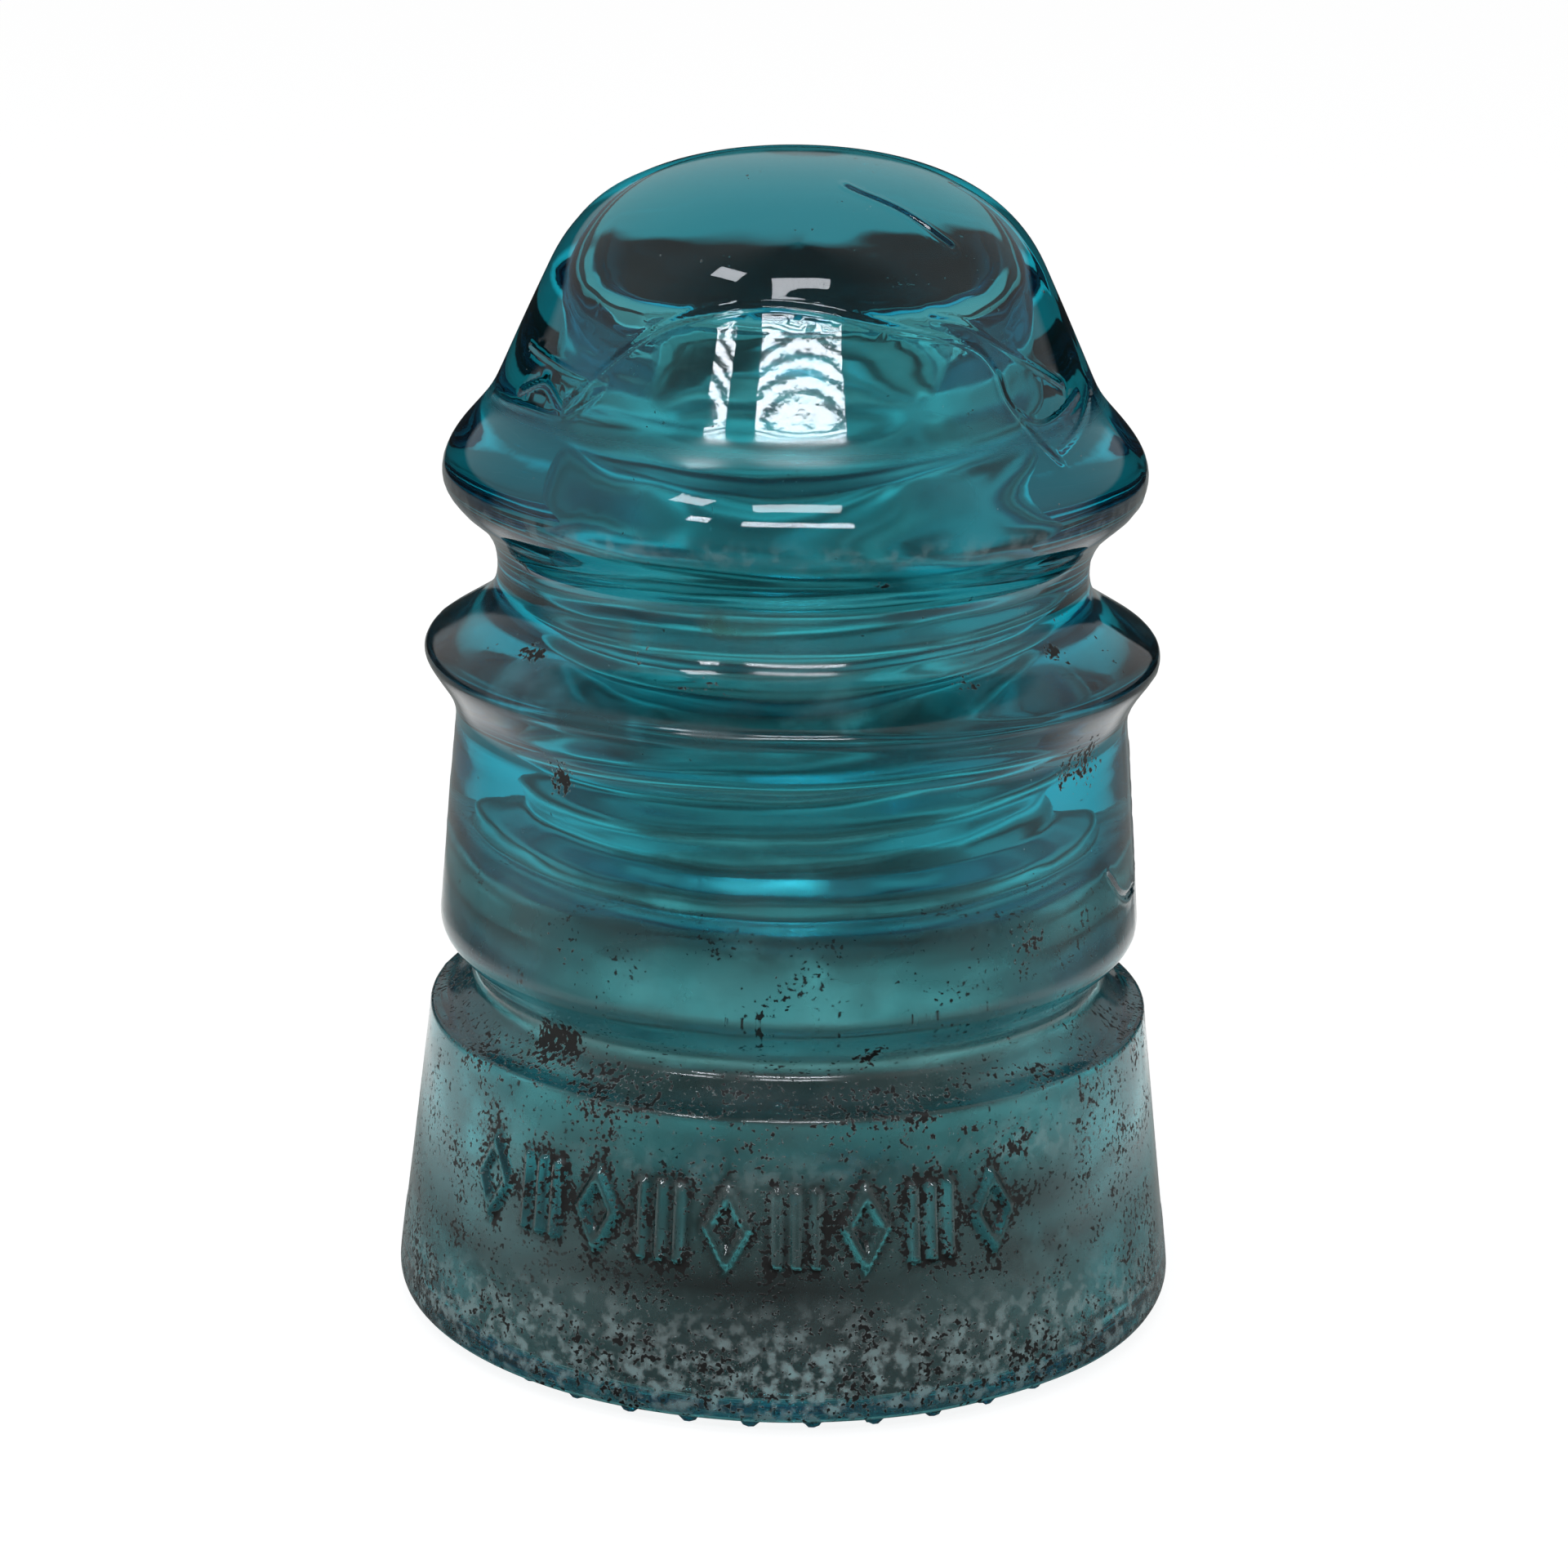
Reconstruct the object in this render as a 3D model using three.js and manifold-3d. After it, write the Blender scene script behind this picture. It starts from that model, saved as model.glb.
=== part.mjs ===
// Double-groove pin insulator for open-wire lines: one piece of pressed glass, open at the bottom.
// Millimetres, +Z up. The origin is on the axis, level with the tips of the drip points, so the
// part stands on the plane z = 0. The raised marks on the skirt face -Y.
import * as THREE from "three";
import { mergeVertices } from "three/addons/utils/BufferGeometryUtils.js";
import Module from "manifold-3d";

// Outside of the glass, from the rim up. A radius runs from the axis to the outline's sharp
// corner, before that corner is rounded, and a height is from the corner below.
const BASE_RADIUS = 31.3;
const SKIRT_HEIGHT = 23.6;
const SHOULDER_RADIUS = 28.5;
const SHOULDER_RIM_WIDTH = 1.4; // nearly level strip inside the shoulder's sharp edge
const SHOULDER_RIM_RISE = 0.35;
const NECK_RADIUS = 24.85; // floor of the lower, narrow groove
const NECK_FLANK_RISE = 1.8; // lower groove, from the shoulder's strip up to its floor
const NECK_FLOOR_WIDTH = 1.4;
const LIP_UNDERCUT_RISE = 2.9; // lower groove, from its floor up to the body's lip
const LIP_RADIUS = 27.75;
const BODY_HEIGHT = 18.35;
const BODY_TAPER = 1.55; // how much narrower the body is at its top than at its lip
const LOWER_RIDGE_UNDERCUT_RISE = 4.4;
const LOWER_RIDGE_FLANK_RISE = 3.8;
const WIRE_GROOVE_RADIUS = 23;
const WIRE_GROOVE_FLOOR_WIDTH = 4.9;
const LOWER_RIDGE_STANDOUT = 6.2; // ridge corners beyond the wire groove's floor
const UPPER_RIDGE_STANDOUT = 5.85;
const UPPER_RIDGE_UNDERCUT_RISE = 4.9;
const UPPER_RIDGE_FLANK_RISE = 6.1;
const DOME_FOOT_STANDOUT = 0.45; // foot of the dome beyond the wire groove's floor
const DOME_HEIGHT = 18.5;
const DOME_FLANK_DEG = 24.6; // lean of the dome's flank from upright

// How far a corner's rounding reaches along each of its two sides.
const BASE_ROUNDING = 1.8;
const EDGE_ROUNDING = 0.3;
const NECK_ROUNDING = 0.7;
const LIP_ROUNDING = 1.3;
const BODY_TOP_ROUNDING = 1.6;
const LOWER_RIDGE_ROUNDING = 1.5;
const WIRE_GROOVE_ROUNDING = 2.4;
const UPPER_RIDGE_ROUNDING = 4.2;
const DOME_FOOT_ROUNDING = 3;
const CROWN_ROUNDING = 9.4;

// Hollow skirt.
const RIM_WALL = 6.6;
const NECK_WALL = 4.4;
const CAVITY_DEPTH = 35.8;
const LEDGE_WIDTH = 3.2; // flat ring between the pinhole's mouth and the cavity's wall
const RIM_INNER_ROUNDING = 1;
const CAVITY_WALL_ROUNDING = 4;
const CAVITY_ROOF_ROUNDING = 2.2;

// Pinhole for a 1 inch pin: 4 threads to the inch, and a taper of 1/16 inch in the diameter per
// inch of depth.
const CROWN_GLASS = 11.5; // glass between the pinhole's ceiling and the top
const PINHOLE_CEILING_ROUNDING = 1.5;
const THREAD_ROOT_RADIUS = 13; // at the ceiling
const THREAD_DEPTH = 1.6;
const THREAD_PITCH = 25.4 / 4;
const PINHOLE_TAPER = 1 / 32; // radius gained per millimetre of depth
const MOUTH_CLEARANCE = 1.53; // smooth mouth beyond the thread's root
const MOUTH_DEPTH = 1.6; // smooth counterbore under the thread
const MOUTH_CHAMFER = 1.4;
const THREAD_FOOT_FADE = 3; // the thread dies away over this height at its lower end
const THREAD_TOP_FADE = 11; // and over this height at its upper end
const THREAD_TOP_CLEARANCE = 4; // smooth height between the thread's upper end and the ceiling

// Drip points under the rim.
const DRIP_POINTS = 38;
const DRIP_HEIGHT = 1;
const DRIP_BASE_RADIUS = 1.25;
const DRIP_TIP_RADIUS = 0.55;
const DRIP_INSET = 2.9; // ring of points, in from the base radius

// Raised marks on the skirt: lozenges and groups of three reeds, in turn.
const MARKS = 9;
const MARK_PITCH_DEG = 10.05;
const MARK_ROW_TURN_DEG = -8.2; // middle of the row, from -Y towards +X
const MARK_CENTRE_HEIGHT = 15.4; // above the rim
const MARK_HEIGHT = 6.2;
const MARK_WIDTH = 3.7;
const MARK_STROKE = 0.8;
const MARK_RAISE = 0.45;

// Fineness of the faceted surface.
const TURN_STEPS = 48;
const THREAD_TURN_STEPS = 40;
const THREAD_STEPS_PER_PITCH = 5;
const ROUNDING_TOLERANCE = 0.06; // furthest that a facet may lie from a rounding's curve
const DRIP_SIDES = 8;
const OVERLAP = 0.6; // how far a joined or cutting shape reaches past the surface it meets

const wasm = await Module();
wasm.setup();

/** A closed geometry as a manifold solid. */
function solid(geometry) {
  const bare = geometry.clone();
  bare.deleteAttribute("normal");
  bare.deleteAttribute("uv");
  const merged = mergeVertices(bare, 1e-4);
  const vertProperties = new Float32Array(merged.attributes.position.array);
  const triVerts = new Uint32Array(merged.index.array);
  return new wasm.Manifold(new wasm.Mesh({ numProp: 3, vertProperties, triVerts }));
}

/** A manifold solid as a geometry with flat-shaded normals. */
function geometryOf(body) {
  const { vertProperties, triVerts } = body.getMesh();
  const geometry = new THREE.BufferGeometry();
  geometry.setAttribute("position", new THREE.BufferAttribute(vertProperties, 3));
  geometry.setIndex(new THREE.BufferAttribute(triVerts, 1));
  const faceted = geometry.toNonIndexed();
  faceted.computeVertexNormals();
  return faceted;
}

/** A sharp corner of an outline. Its rounding reaches `before` and `after` along its two sides. */
function corner(radius, height, before = 0, after = before) {
  return { at: new THREE.Vector2(radius, height), before, after };
}

/** The points of a rounding that leaves `start`, bends round the corner `at` and ends at `end`. */
function rounding(start, at, end) {
  const turn = Math.PI - start.clone().sub(at).angleTo(end.clone().sub(at));
  const reach = Math.max(start.distanceTo(at), end.distanceTo(at));
  const radius = reach / Math.tan(turn / 2);
  const steps = Math.ceil(turn * Math.sqrt(radius / (8 * ROUNDING_TOLERANCE)));
  return new THREE.QuadraticBezierCurve(start, at, end).getPoints(steps);
}

/** The outline's points, with each corner that has a rounding swept as a curve. */
function outline(corners) {
  return corners.flatMap(({ at, before, after }, i) => {
    if (before === 0) return [at];
    const towards = (neighbour, reach) => {
      const side = neighbour.at.clone().sub(at);
      const room = Math.max(side.length() - neighbour.before, side.length() / 2);
      return side.setLength(Math.min(reach, room)).add(at);
    };
    return rounding(towards(corners[i - 1], before), at, towards(corners[i + 1], after));
  });
}

/** A lathe-turned closed geometry about +Z. */
function turned(points, steps) {
  return new THREE.LatheGeometry(points, steps).rotateX(Math.PI / 2);
}

// Heights of the corners above the plane that the part stands on.
const rimHeight = DRIP_HEIGHT;
const shoulderHeight = rimHeight + SKIRT_HEIGHT;
const neckFootHeight = shoulderHeight + SHOULDER_RIM_RISE;
const neckHeight = neckFootHeight + NECK_FLANK_RISE;
const neckTopHeight = neckHeight + NECK_FLOOR_WIDTH;
const lipHeight = neckTopHeight + LIP_UNDERCUT_RISE;
const bodyTopHeight = lipHeight + BODY_HEIGHT;
const lowerRidgeHeight = bodyTopHeight + LOWER_RIDGE_UNDERCUT_RISE;
const wireGrooveHeight = lowerRidgeHeight + LOWER_RIDGE_FLANK_RISE;
const wireGrooveTopHeight = wireGrooveHeight + WIRE_GROOVE_FLOOR_WIDTH;
const upperRidgeHeight = wireGrooveTopHeight + UPPER_RIDGE_UNDERCUT_RISE;
const domeFootHeight = upperRidgeHeight + UPPER_RIDGE_FLANK_RISE;
const crownHeight = domeFootHeight + DOME_HEIGHT;
const cavityRoofHeight = rimHeight + CAVITY_DEPTH;
const pinholeCeilingHeight = crownHeight - CROWN_GLASS;
const threadFootHeight = cavityRoofHeight + MOUTH_DEPTH + MOUTH_CHAMFER;

/** The thread's root radius, which grows with the depth below the pinhole's ceiling. */
function threadRootRadius(height) {
  return THREAD_ROOT_RADIUS + (pinholeCeilingHeight - height) * PINHOLE_TAPER;
}

const mouthRadius = threadRootRadius(threadFootHeight) + MOUTH_CLEARANCE;

/** The glass without its pinhole, points and marks: outside, rim, then the skirt's hollow. */
function pressedBlank() {
  const domeFootRadius = WIRE_GROOVE_RADIUS + DOME_FOOT_STANDOUT;
  const flankRun = DOME_HEIGHT * Math.tan(THREE.MathUtils.degToRad(DOME_FLANK_DEG));
  const crownRadius = domeFootRadius - flankRun;
  const corners = [
    corner(0, crownHeight),
    corner(crownRadius, crownHeight, crownRadius, CROWN_ROUNDING),
    corner(domeFootRadius, domeFootHeight, DOME_FOOT_ROUNDING),
    corner(WIRE_GROOVE_RADIUS + UPPER_RIDGE_STANDOUT, upperRidgeHeight, UPPER_RIDGE_ROUNDING),
    corner(WIRE_GROOVE_RADIUS, wireGrooveTopHeight, WIRE_GROOVE_ROUNDING),
    corner(WIRE_GROOVE_RADIUS, wireGrooveHeight, WIRE_GROOVE_ROUNDING),
    corner(WIRE_GROOVE_RADIUS + LOWER_RIDGE_STANDOUT, lowerRidgeHeight, LOWER_RIDGE_ROUNDING),
    corner(LIP_RADIUS - BODY_TAPER, bodyTopHeight, BODY_TOP_ROUNDING),
    corner(LIP_RADIUS, lipHeight, LIP_ROUNDING),
    corner(NECK_RADIUS, neckTopHeight, NECK_ROUNDING),
    corner(NECK_RADIUS, neckHeight, NECK_ROUNDING),
    corner(SHOULDER_RADIUS - SHOULDER_RIM_WIDTH, neckFootHeight, NECK_ROUNDING),
    corner(SHOULDER_RADIUS, shoulderHeight, EDGE_ROUNDING),
    corner(BASE_RADIUS, rimHeight, BASE_ROUNDING),
    corner(BASE_RADIUS - RIM_WALL, rimHeight, RIM_INNER_ROUNDING),
    corner(NECK_RADIUS - NECK_WALL, neckHeight, CAVITY_WALL_ROUNDING),
    corner(mouthRadius + LEDGE_WIDTH, cavityRoofHeight, CAVITY_ROOF_ROUNDING),
    corner(0, cavityRoofHeight),
  ];
  return solid(turned(outline(corners).slice(1).reverse(), TURN_STEPS));
}

/** The plunger that forms the pinhole: smooth mouth, tapered round thread, flat end. */
function threadedPlunger() {
  const threadTop = pinholeCeilingHeight - THREAD_TOP_CLEARANCE;
  const wallTop = pinholeCeilingHeight - PINHOLE_CEILING_ROUNDING;
  const meanRadius = (height) => threadRootRadius(height) - THREAD_DEPTH / 2;
  const rows = Math.ceil(((wallTop - threadFootHeight) / THREAD_PITCH) * THREAD_STEPS_PER_PITCH);
  const wall = Array.from({ length: rows + 1 }, (_, i) => {
    const height = threadFootHeight + ((wallTop - threadFootHeight) * i) / rows;
    return new THREE.Vector2(meanRadius(height), height);
  });
  const ceilingRadius = meanRadius(pinholeCeilingHeight);
  const end = rounding(
    wall.at(-1),
    new THREE.Vector2(ceilingRadius, pinholeCeilingHeight),
    new THREE.Vector2(ceilingRadius - PINHOLE_CEILING_ROUNDING, pinholeCeilingHeight),
  );
  const geometry = turned(
    [
      new THREE.Vector2(0, cavityRoofHeight - OVERLAP),
      new THREE.Vector2(mouthRadius, cavityRoofHeight - OVERLAP),
      new THREE.Vector2(mouthRadius, cavityRoofHeight + MOUTH_DEPTH),
      ...wall,
      ...end.slice(1),
      new THREE.Vector2(0, pinholeCeilingHeight),
    ],
    THREAD_TURN_STEPS,
  );
  const place = geometry.attributes.position;
  for (let i = 0; i < place.count; i++) {
    const [x, y, z] = [place.getX(i), place.getY(i), place.getZ(i)];
    const fade =
      THREE.MathUtils.smoothstep(z, threadFootHeight, threadFootHeight + THREAD_FOOT_FADE) *
      (1 - THREE.MathUtils.smoothstep(z, threadTop - THREAD_TOP_FADE, threadTop));
    const phase = (2 * Math.PI * z) / THREAD_PITCH - Math.atan2(y, x);
    const radius = Math.hypot(x, y);
    const wave = (fade * Math.cos(phase) * THREAD_DEPTH) / 2;
    const grow = radius > 0 ? 1 + wave / radius : 1;
    place.setXY(i, x * grow, y * grow);
  }
  return solid(geometry);
}

/** One drip point, from inside the rim down to its flat tip on z = 0. */
function dripPoint(turn) {
  const slope = (DRIP_BASE_RADIUS - DRIP_TIP_RADIUS) / DRIP_HEIGHT;
  const rootRadius = DRIP_BASE_RADIUS + slope * OVERLAP;
  const length = DRIP_HEIGHT + OVERLAP;
  const point = new THREE.CylinderGeometry(rootRadius, DRIP_TIP_RADIUS, length, DRIP_SIDES)
    .rotateX(Math.PI / 2)
    .translate(BASE_RADIUS - DRIP_INSET, 0, length / 2)
    .rotateZ(turn);
  return solid(point);
}

/** A closed four-cornered ring, as wide as a mark and standing on one corner. */
function lozenge() {
  const diamond = (width, height) => [
    new THREE.Vector2(width / 2, 0),
    new THREE.Vector2(0, height / 2),
    new THREE.Vector2(-width / 2, 0),
    new THREE.Vector2(0, -height / 2),
  ];
  const inset = 2 * MARK_STROKE * Math.hypot(MARK_WIDTH, MARK_HEIGHT);
  const shape = new THREE.Shape(diamond(MARK_WIDTH, MARK_HEIGHT));
  const hole = diamond(MARK_WIDTH - inset / MARK_HEIGHT, MARK_HEIGHT - inset / MARK_WIDTH);
  shape.holes.push(new THREE.Path(hole));
  return [shape];
}

/** Three upright bars across a mark's width. */
function reeds() {
  return [-1, 0, 1].map((side) => {
    const middle = (side * (MARK_WIDTH - MARK_STROKE)) / 2;
    const [left, right] = [middle - MARK_STROKE / 2, middle + MARK_STROKE / 2];
    return new THREE.Shape([
      new THREE.Vector2(left, -MARK_HEIGHT / 2),
      new THREE.Vector2(right, -MARK_HEIGHT / 2),
      new THREE.Vector2(right, MARK_HEIGHT / 2),
      new THREE.Vector2(left, MARK_HEIGHT / 2),
    ]);
  });
}

/** One raised mark, square to the tapered skirt. */
function mark(index) {
  const lean = Math.atan((BASE_RADIUS - SHOULDER_RADIUS) / SKIRT_HEIGHT);
  const radius = BASE_RADIUS - MARK_CENTRE_HEIGHT * Math.tan(lean);
  const turnDeg = MARK_ROW_TURN_DEG + (index - (MARKS - 1) / 2) * MARK_PITCH_DEG;
  return (index % 2 ? reeds() : lozenge()).map((shape) =>
    solid(
      new THREE.ExtrudeGeometry(shape, { depth: MARK_RAISE + OVERLAP, bevelEnabled: false })
        .translate(0, 0, -OVERLAP)
        .rotateX(Math.PI / 2 - lean)
        .translate(0, -radius, rimHeight + MARK_CENTRE_HEIGHT)
        .rotateZ(THREE.MathUtils.degToRad(turnDeg)),
    ),
  );
}

let glass = pressedBlank().subtract(threadedPlunger());
for (let i = 0; i < DRIP_POINTS; i++) {
  glass = glass.add(dripPoint((2 * Math.PI * i) / DRIP_POINTS));
}
for (let i = 0; i < MARKS; i++) {
  for (const raised of mark(i)) {
    glass = glass.add(raised);
  }
}

const aquaGlass = new THREE.MeshStandardMaterial({
  color: 0x2a7f88,
  roughness: 0.12,
  metalness: 0,
  transparent: true,
  opacity: 0.7,
});
const glassBody = new THREE.Mesh(geometryOf(glass), aquaGlass);
glassBody.name = "glass_body";

const group = new THREE.Group();
group.add(glassBody);

export default group;
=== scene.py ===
"""Looks of a double-groove glass pin insulator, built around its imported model.

The insulator is one piece of pressed aqua glass. Its surface is one fine mesh, swept from the same
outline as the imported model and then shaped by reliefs: the screw thread, the drip points, the raised
marks, the mould's seams, and the waves and wrinkles that a cool iron mould leaves in hot glass.
Sizes are in millimetres up to the moment when a mesh is made, and Blender's units are metres.
"""

import itertools
import logging
import math
from collections.abc import Callable
from dataclasses import dataclass, field
from enum import Enum, IntEnum
from typing import Protocol

import bmesh
import bpy
import numpy as np
from mathutils import Matrix, Vector
from mathutils.kdtree import KDTree


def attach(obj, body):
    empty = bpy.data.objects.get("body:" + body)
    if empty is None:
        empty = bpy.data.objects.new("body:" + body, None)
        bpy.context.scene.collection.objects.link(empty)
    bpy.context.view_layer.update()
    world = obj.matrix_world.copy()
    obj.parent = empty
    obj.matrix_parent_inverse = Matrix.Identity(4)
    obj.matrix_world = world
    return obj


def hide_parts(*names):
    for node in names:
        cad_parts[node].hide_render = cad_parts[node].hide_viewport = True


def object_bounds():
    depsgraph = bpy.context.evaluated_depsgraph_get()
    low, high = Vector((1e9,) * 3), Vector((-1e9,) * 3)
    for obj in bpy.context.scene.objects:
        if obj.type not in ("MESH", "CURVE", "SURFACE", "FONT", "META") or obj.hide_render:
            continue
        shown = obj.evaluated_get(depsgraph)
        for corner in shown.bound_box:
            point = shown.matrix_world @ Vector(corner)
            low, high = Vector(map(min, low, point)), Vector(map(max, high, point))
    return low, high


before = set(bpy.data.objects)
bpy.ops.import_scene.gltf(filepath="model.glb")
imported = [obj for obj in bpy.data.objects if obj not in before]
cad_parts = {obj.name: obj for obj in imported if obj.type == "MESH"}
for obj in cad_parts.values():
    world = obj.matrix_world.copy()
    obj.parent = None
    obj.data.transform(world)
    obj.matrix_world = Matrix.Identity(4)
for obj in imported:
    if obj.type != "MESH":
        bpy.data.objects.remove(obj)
CAD_BOUNDS = [[float(value) for value in corner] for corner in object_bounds()]

MM = 0.001
NODE = "glass_body"
ROUNDING_POINTS = 40  # in one corner's rounding, and between two points of a fold
FAR_AWAY = 1e9  # mm
ALL_ROUND = 400  # degrees, wide enough to reach all round evenly
log = logging.getLogger("insulator")


# ---------------------------------------------------------------- small tools


def linear(hex_colour: str) -> tuple[float, float, float, float]:
    """Turn an sRGB hex colour into linear light.

    Args:
        hex_colour: Six hexadecimal digits after a hash.

    Returns:
        Red, green, blue and an alpha of 1.
    """
    channels = [int(hex_colour[i : i + 2], 16) / 255 for i in (1, 3, 5)]
    lit = [c / 12.92 if c <= 0.04045 else ((c + 0.055) / 1.055) ** 2.4 for c in channels]
    return (*lit, 1.0)


def add_node(tree: bpy.types.NodeTree, kind: str, settings: dict | None = None, **inputs) -> bpy.types.Node:
    """Add one shader node.

    Args:
        tree: The material's or the world's node tree.
        kind: Blender's name for the node, without the ShaderNode prefix.
        settings: Attributes of the node itself. The name stops gives a colour ramp its places from 0
            to 1, each with its linear colour.
        **inputs: Values, or output sockets to link, by input name with _ for a space. A name that
            starts with i_ and a number picks the input by its place.

    Returns:
        The new node.
    """
    node = tree.nodes.new(f"ShaderNode{kind}")
    settings = dict(settings or {})
    stops = settings.pop("stops", ())
    for name, value in settings.items():
        setattr(node, name, value)
    while stops and len(node.color_ramp.elements) < len(stops):
        node.color_ramp.elements.new(1.0)
    for i, (place, colour) in enumerate(stops):
        node.color_ramp.elements[i].position = place
        node.color_ramp.elements[i].color = colour
    for name, value in inputs.items():
        key = int(name[2:]) if name.startswith("i_") else name.replace("_", " ")
        socket = node.inputs[key]
        if isinstance(value, bpy.types.NodeSocket):
            tree.links.new(value, socket)
        else:
            socket.default_value = value
    return node


def lattice_noise(points: np.ndarray, seed: int) -> np.ndarray:
    """Smooth noise with a wavelength of about two units.

    Args:
        points: One row of three numbers for each place.
        seed: Picks one of many patterns.

    Returns:
        One number for each place, from -1 to 1.
    """
    cell = np.floor(points).astype(np.int64)
    part = points - cell
    ease = part * part * part * (part * (part * 6 - 15) + 10)
    total = np.zeros(len(points))
    for corner in itertools.product((0, 1), repeat=3):
        key = (cell + corner) @ np.array([73856093, 19349663, 83492791]) + seed * 374761393
        key = (key ^ (key >> 13)) * 1274126177
        value = ((key ^ (key >> 16)) & 0xFFFF) / 32767.5 - 1
        total += np.prod(np.where(corner, ease, 1 - ease), axis=1) * value
    return total


def smooth_step(low: float, high: float, values: np.ndarray) -> np.ndarray:
    """Ease from 0 to 1, or backwards where low is the greater.

    Args:
        low: Where the ease starts.
        high: Where it ends.
        values: Any numbers.

    Returns:
        One number for each value, from 0 to 1.
    """
    t = np.clip((values - low) / (high - low), 0, 1)
    return t * t * (3 - 2 * t)


# ---------------------------------------------------------------- the outline


class Zone(Enum):
    """The parts of the surface that one plunger or mould half forms."""

    OUTSIDE = 0
    RIM = 1
    CAVITY = 2
    PINHOLE = 3


@dataclass(frozen=True)
class Corner:
    """A sharp corner of the outline, and how far its rounding reaches along each side, in mm."""

    radius: float
    height: float
    before: float = 0.0
    after: float = 0.0
    zone: Zone = Zone.OUTSIDE


@dataclass(frozen=True)
class GlassSizes:
    """The insulator's own sizes in mm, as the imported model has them."""

    rim_height: float = 1.0
    base_radius: float = 31.3
    shoulder_height: float = 24.6
    shoulder_radius: float = 28.5
    neck_radius: float = 24.85
    neck_height: float = 26.75
    neck_top: float = 28.15
    lip_height: float = 31.05
    lip_radius: float = 27.75
    body_top: float = 49.4
    body_top_radius: float = 26.2
    lower_ridge_height: float = 53.8
    lower_ridge_radius: float = 29.2
    groove_radius: float = 23.0
    groove_height: float = 57.6
    groove_top: float = 62.5
    upper_ridge_height: float = 67.4
    upper_ridge_radius: float = 28.85
    dome_foot_height: float = 73.5
    dome_foot_radius: float = 23.45
    crown_height: float = 92.0
    crown_radius: float = 14.98
    rim_wall: float = 6.6
    neck_wall: float = 4.4
    ledge_height: float = 36.8
    ledge_width: float = 3.2
    mouth_radius: float = 15.8
    mouth_depth: float = 1.6
    thread_foot: float = 39.8
    ceiling_height: float = 80.5
    thread_root: float = 13.0
    thread_depth: float = 1.6
    thread_pitch: float = 6.35
    pinhole_taper: float = 1 / 32

    def thread_mean(self, height: float) -> float:
        """The radius half way up the thread, which grows with the depth below the ceiling."""
        return self.thread_root - self.thread_depth / 2 + (self.ceiling_height - height) * self.pinhole_taper

    def corners(self) -> list[Corner]:
        """The outline's corners, down the outside and up the inside.

        Returns:
            Corners from the top's centre to the centre of the pinhole's ceiling.
        """
        mean = self.thread_mean
        return [
            Corner(0, self.crown_height),
            Corner(self.crown_radius, self.crown_height, self.crown_radius, 9.4),
            Corner(self.dome_foot_radius, self.dome_foot_height, 1.2, 1.2),
            Corner(self.upper_ridge_radius, self.upper_ridge_height, 5.0, 4.2),
            Corner(self.groove_radius, self.groove_top, 2.4, 2.4),
            Corner(self.groove_radius, self.groove_height, 2.4, 2.4),
            Corner(self.lower_ridge_radius, self.lower_ridge_height, 1.5, 1.5),
            Corner(self.body_top_radius, self.body_top, 1.6, 1.6),
            Corner(self.lip_radius, self.lip_height, 1.3, 1.3),
            Corner(self.neck_radius, self.neck_top, 0.69, 0.69),
            Corner(self.neck_radius, self.neck_height, 0.69, 0.69),
            Corner(self.shoulder_radius - 1.4, self.shoulder_height + 0.35, 0.7, 0.7),
            Corner(self.shoulder_radius, self.shoulder_height, 0.3, 0.3),
            Corner(self.base_radius, self.rim_height, 1.8, 1.8),
            Corner(self.base_radius - self.rim_wall, self.rim_height, 1, 1, Zone.RIM),
            Corner(self.neck_radius - self.neck_wall, self.neck_height, 4, 4, Zone.CAVITY),
            Corner(self.mouth_radius + self.ledge_width, self.ledge_height, 2.2, 2.2, Zone.CAVITY),
            Corner(self.mouth_radius, self.ledge_height, 0.4, 0.4, Zone.CAVITY),
            Corner(self.mouth_radius, self.ledge_height + self.mouth_depth, 0.6, 0.6, Zone.PINHOLE),
            Corner(mean(self.thread_foot), self.thread_foot, 0.5, 0.5, Zone.PINHOLE),
            Corner(mean(self.ceiling_height), self.ceiling_height, 1.5, 1.5, Zone.PINHOLE),
            Corner(0, self.ceiling_height, zone=Zone.PINHOLE),
        ]


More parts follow.
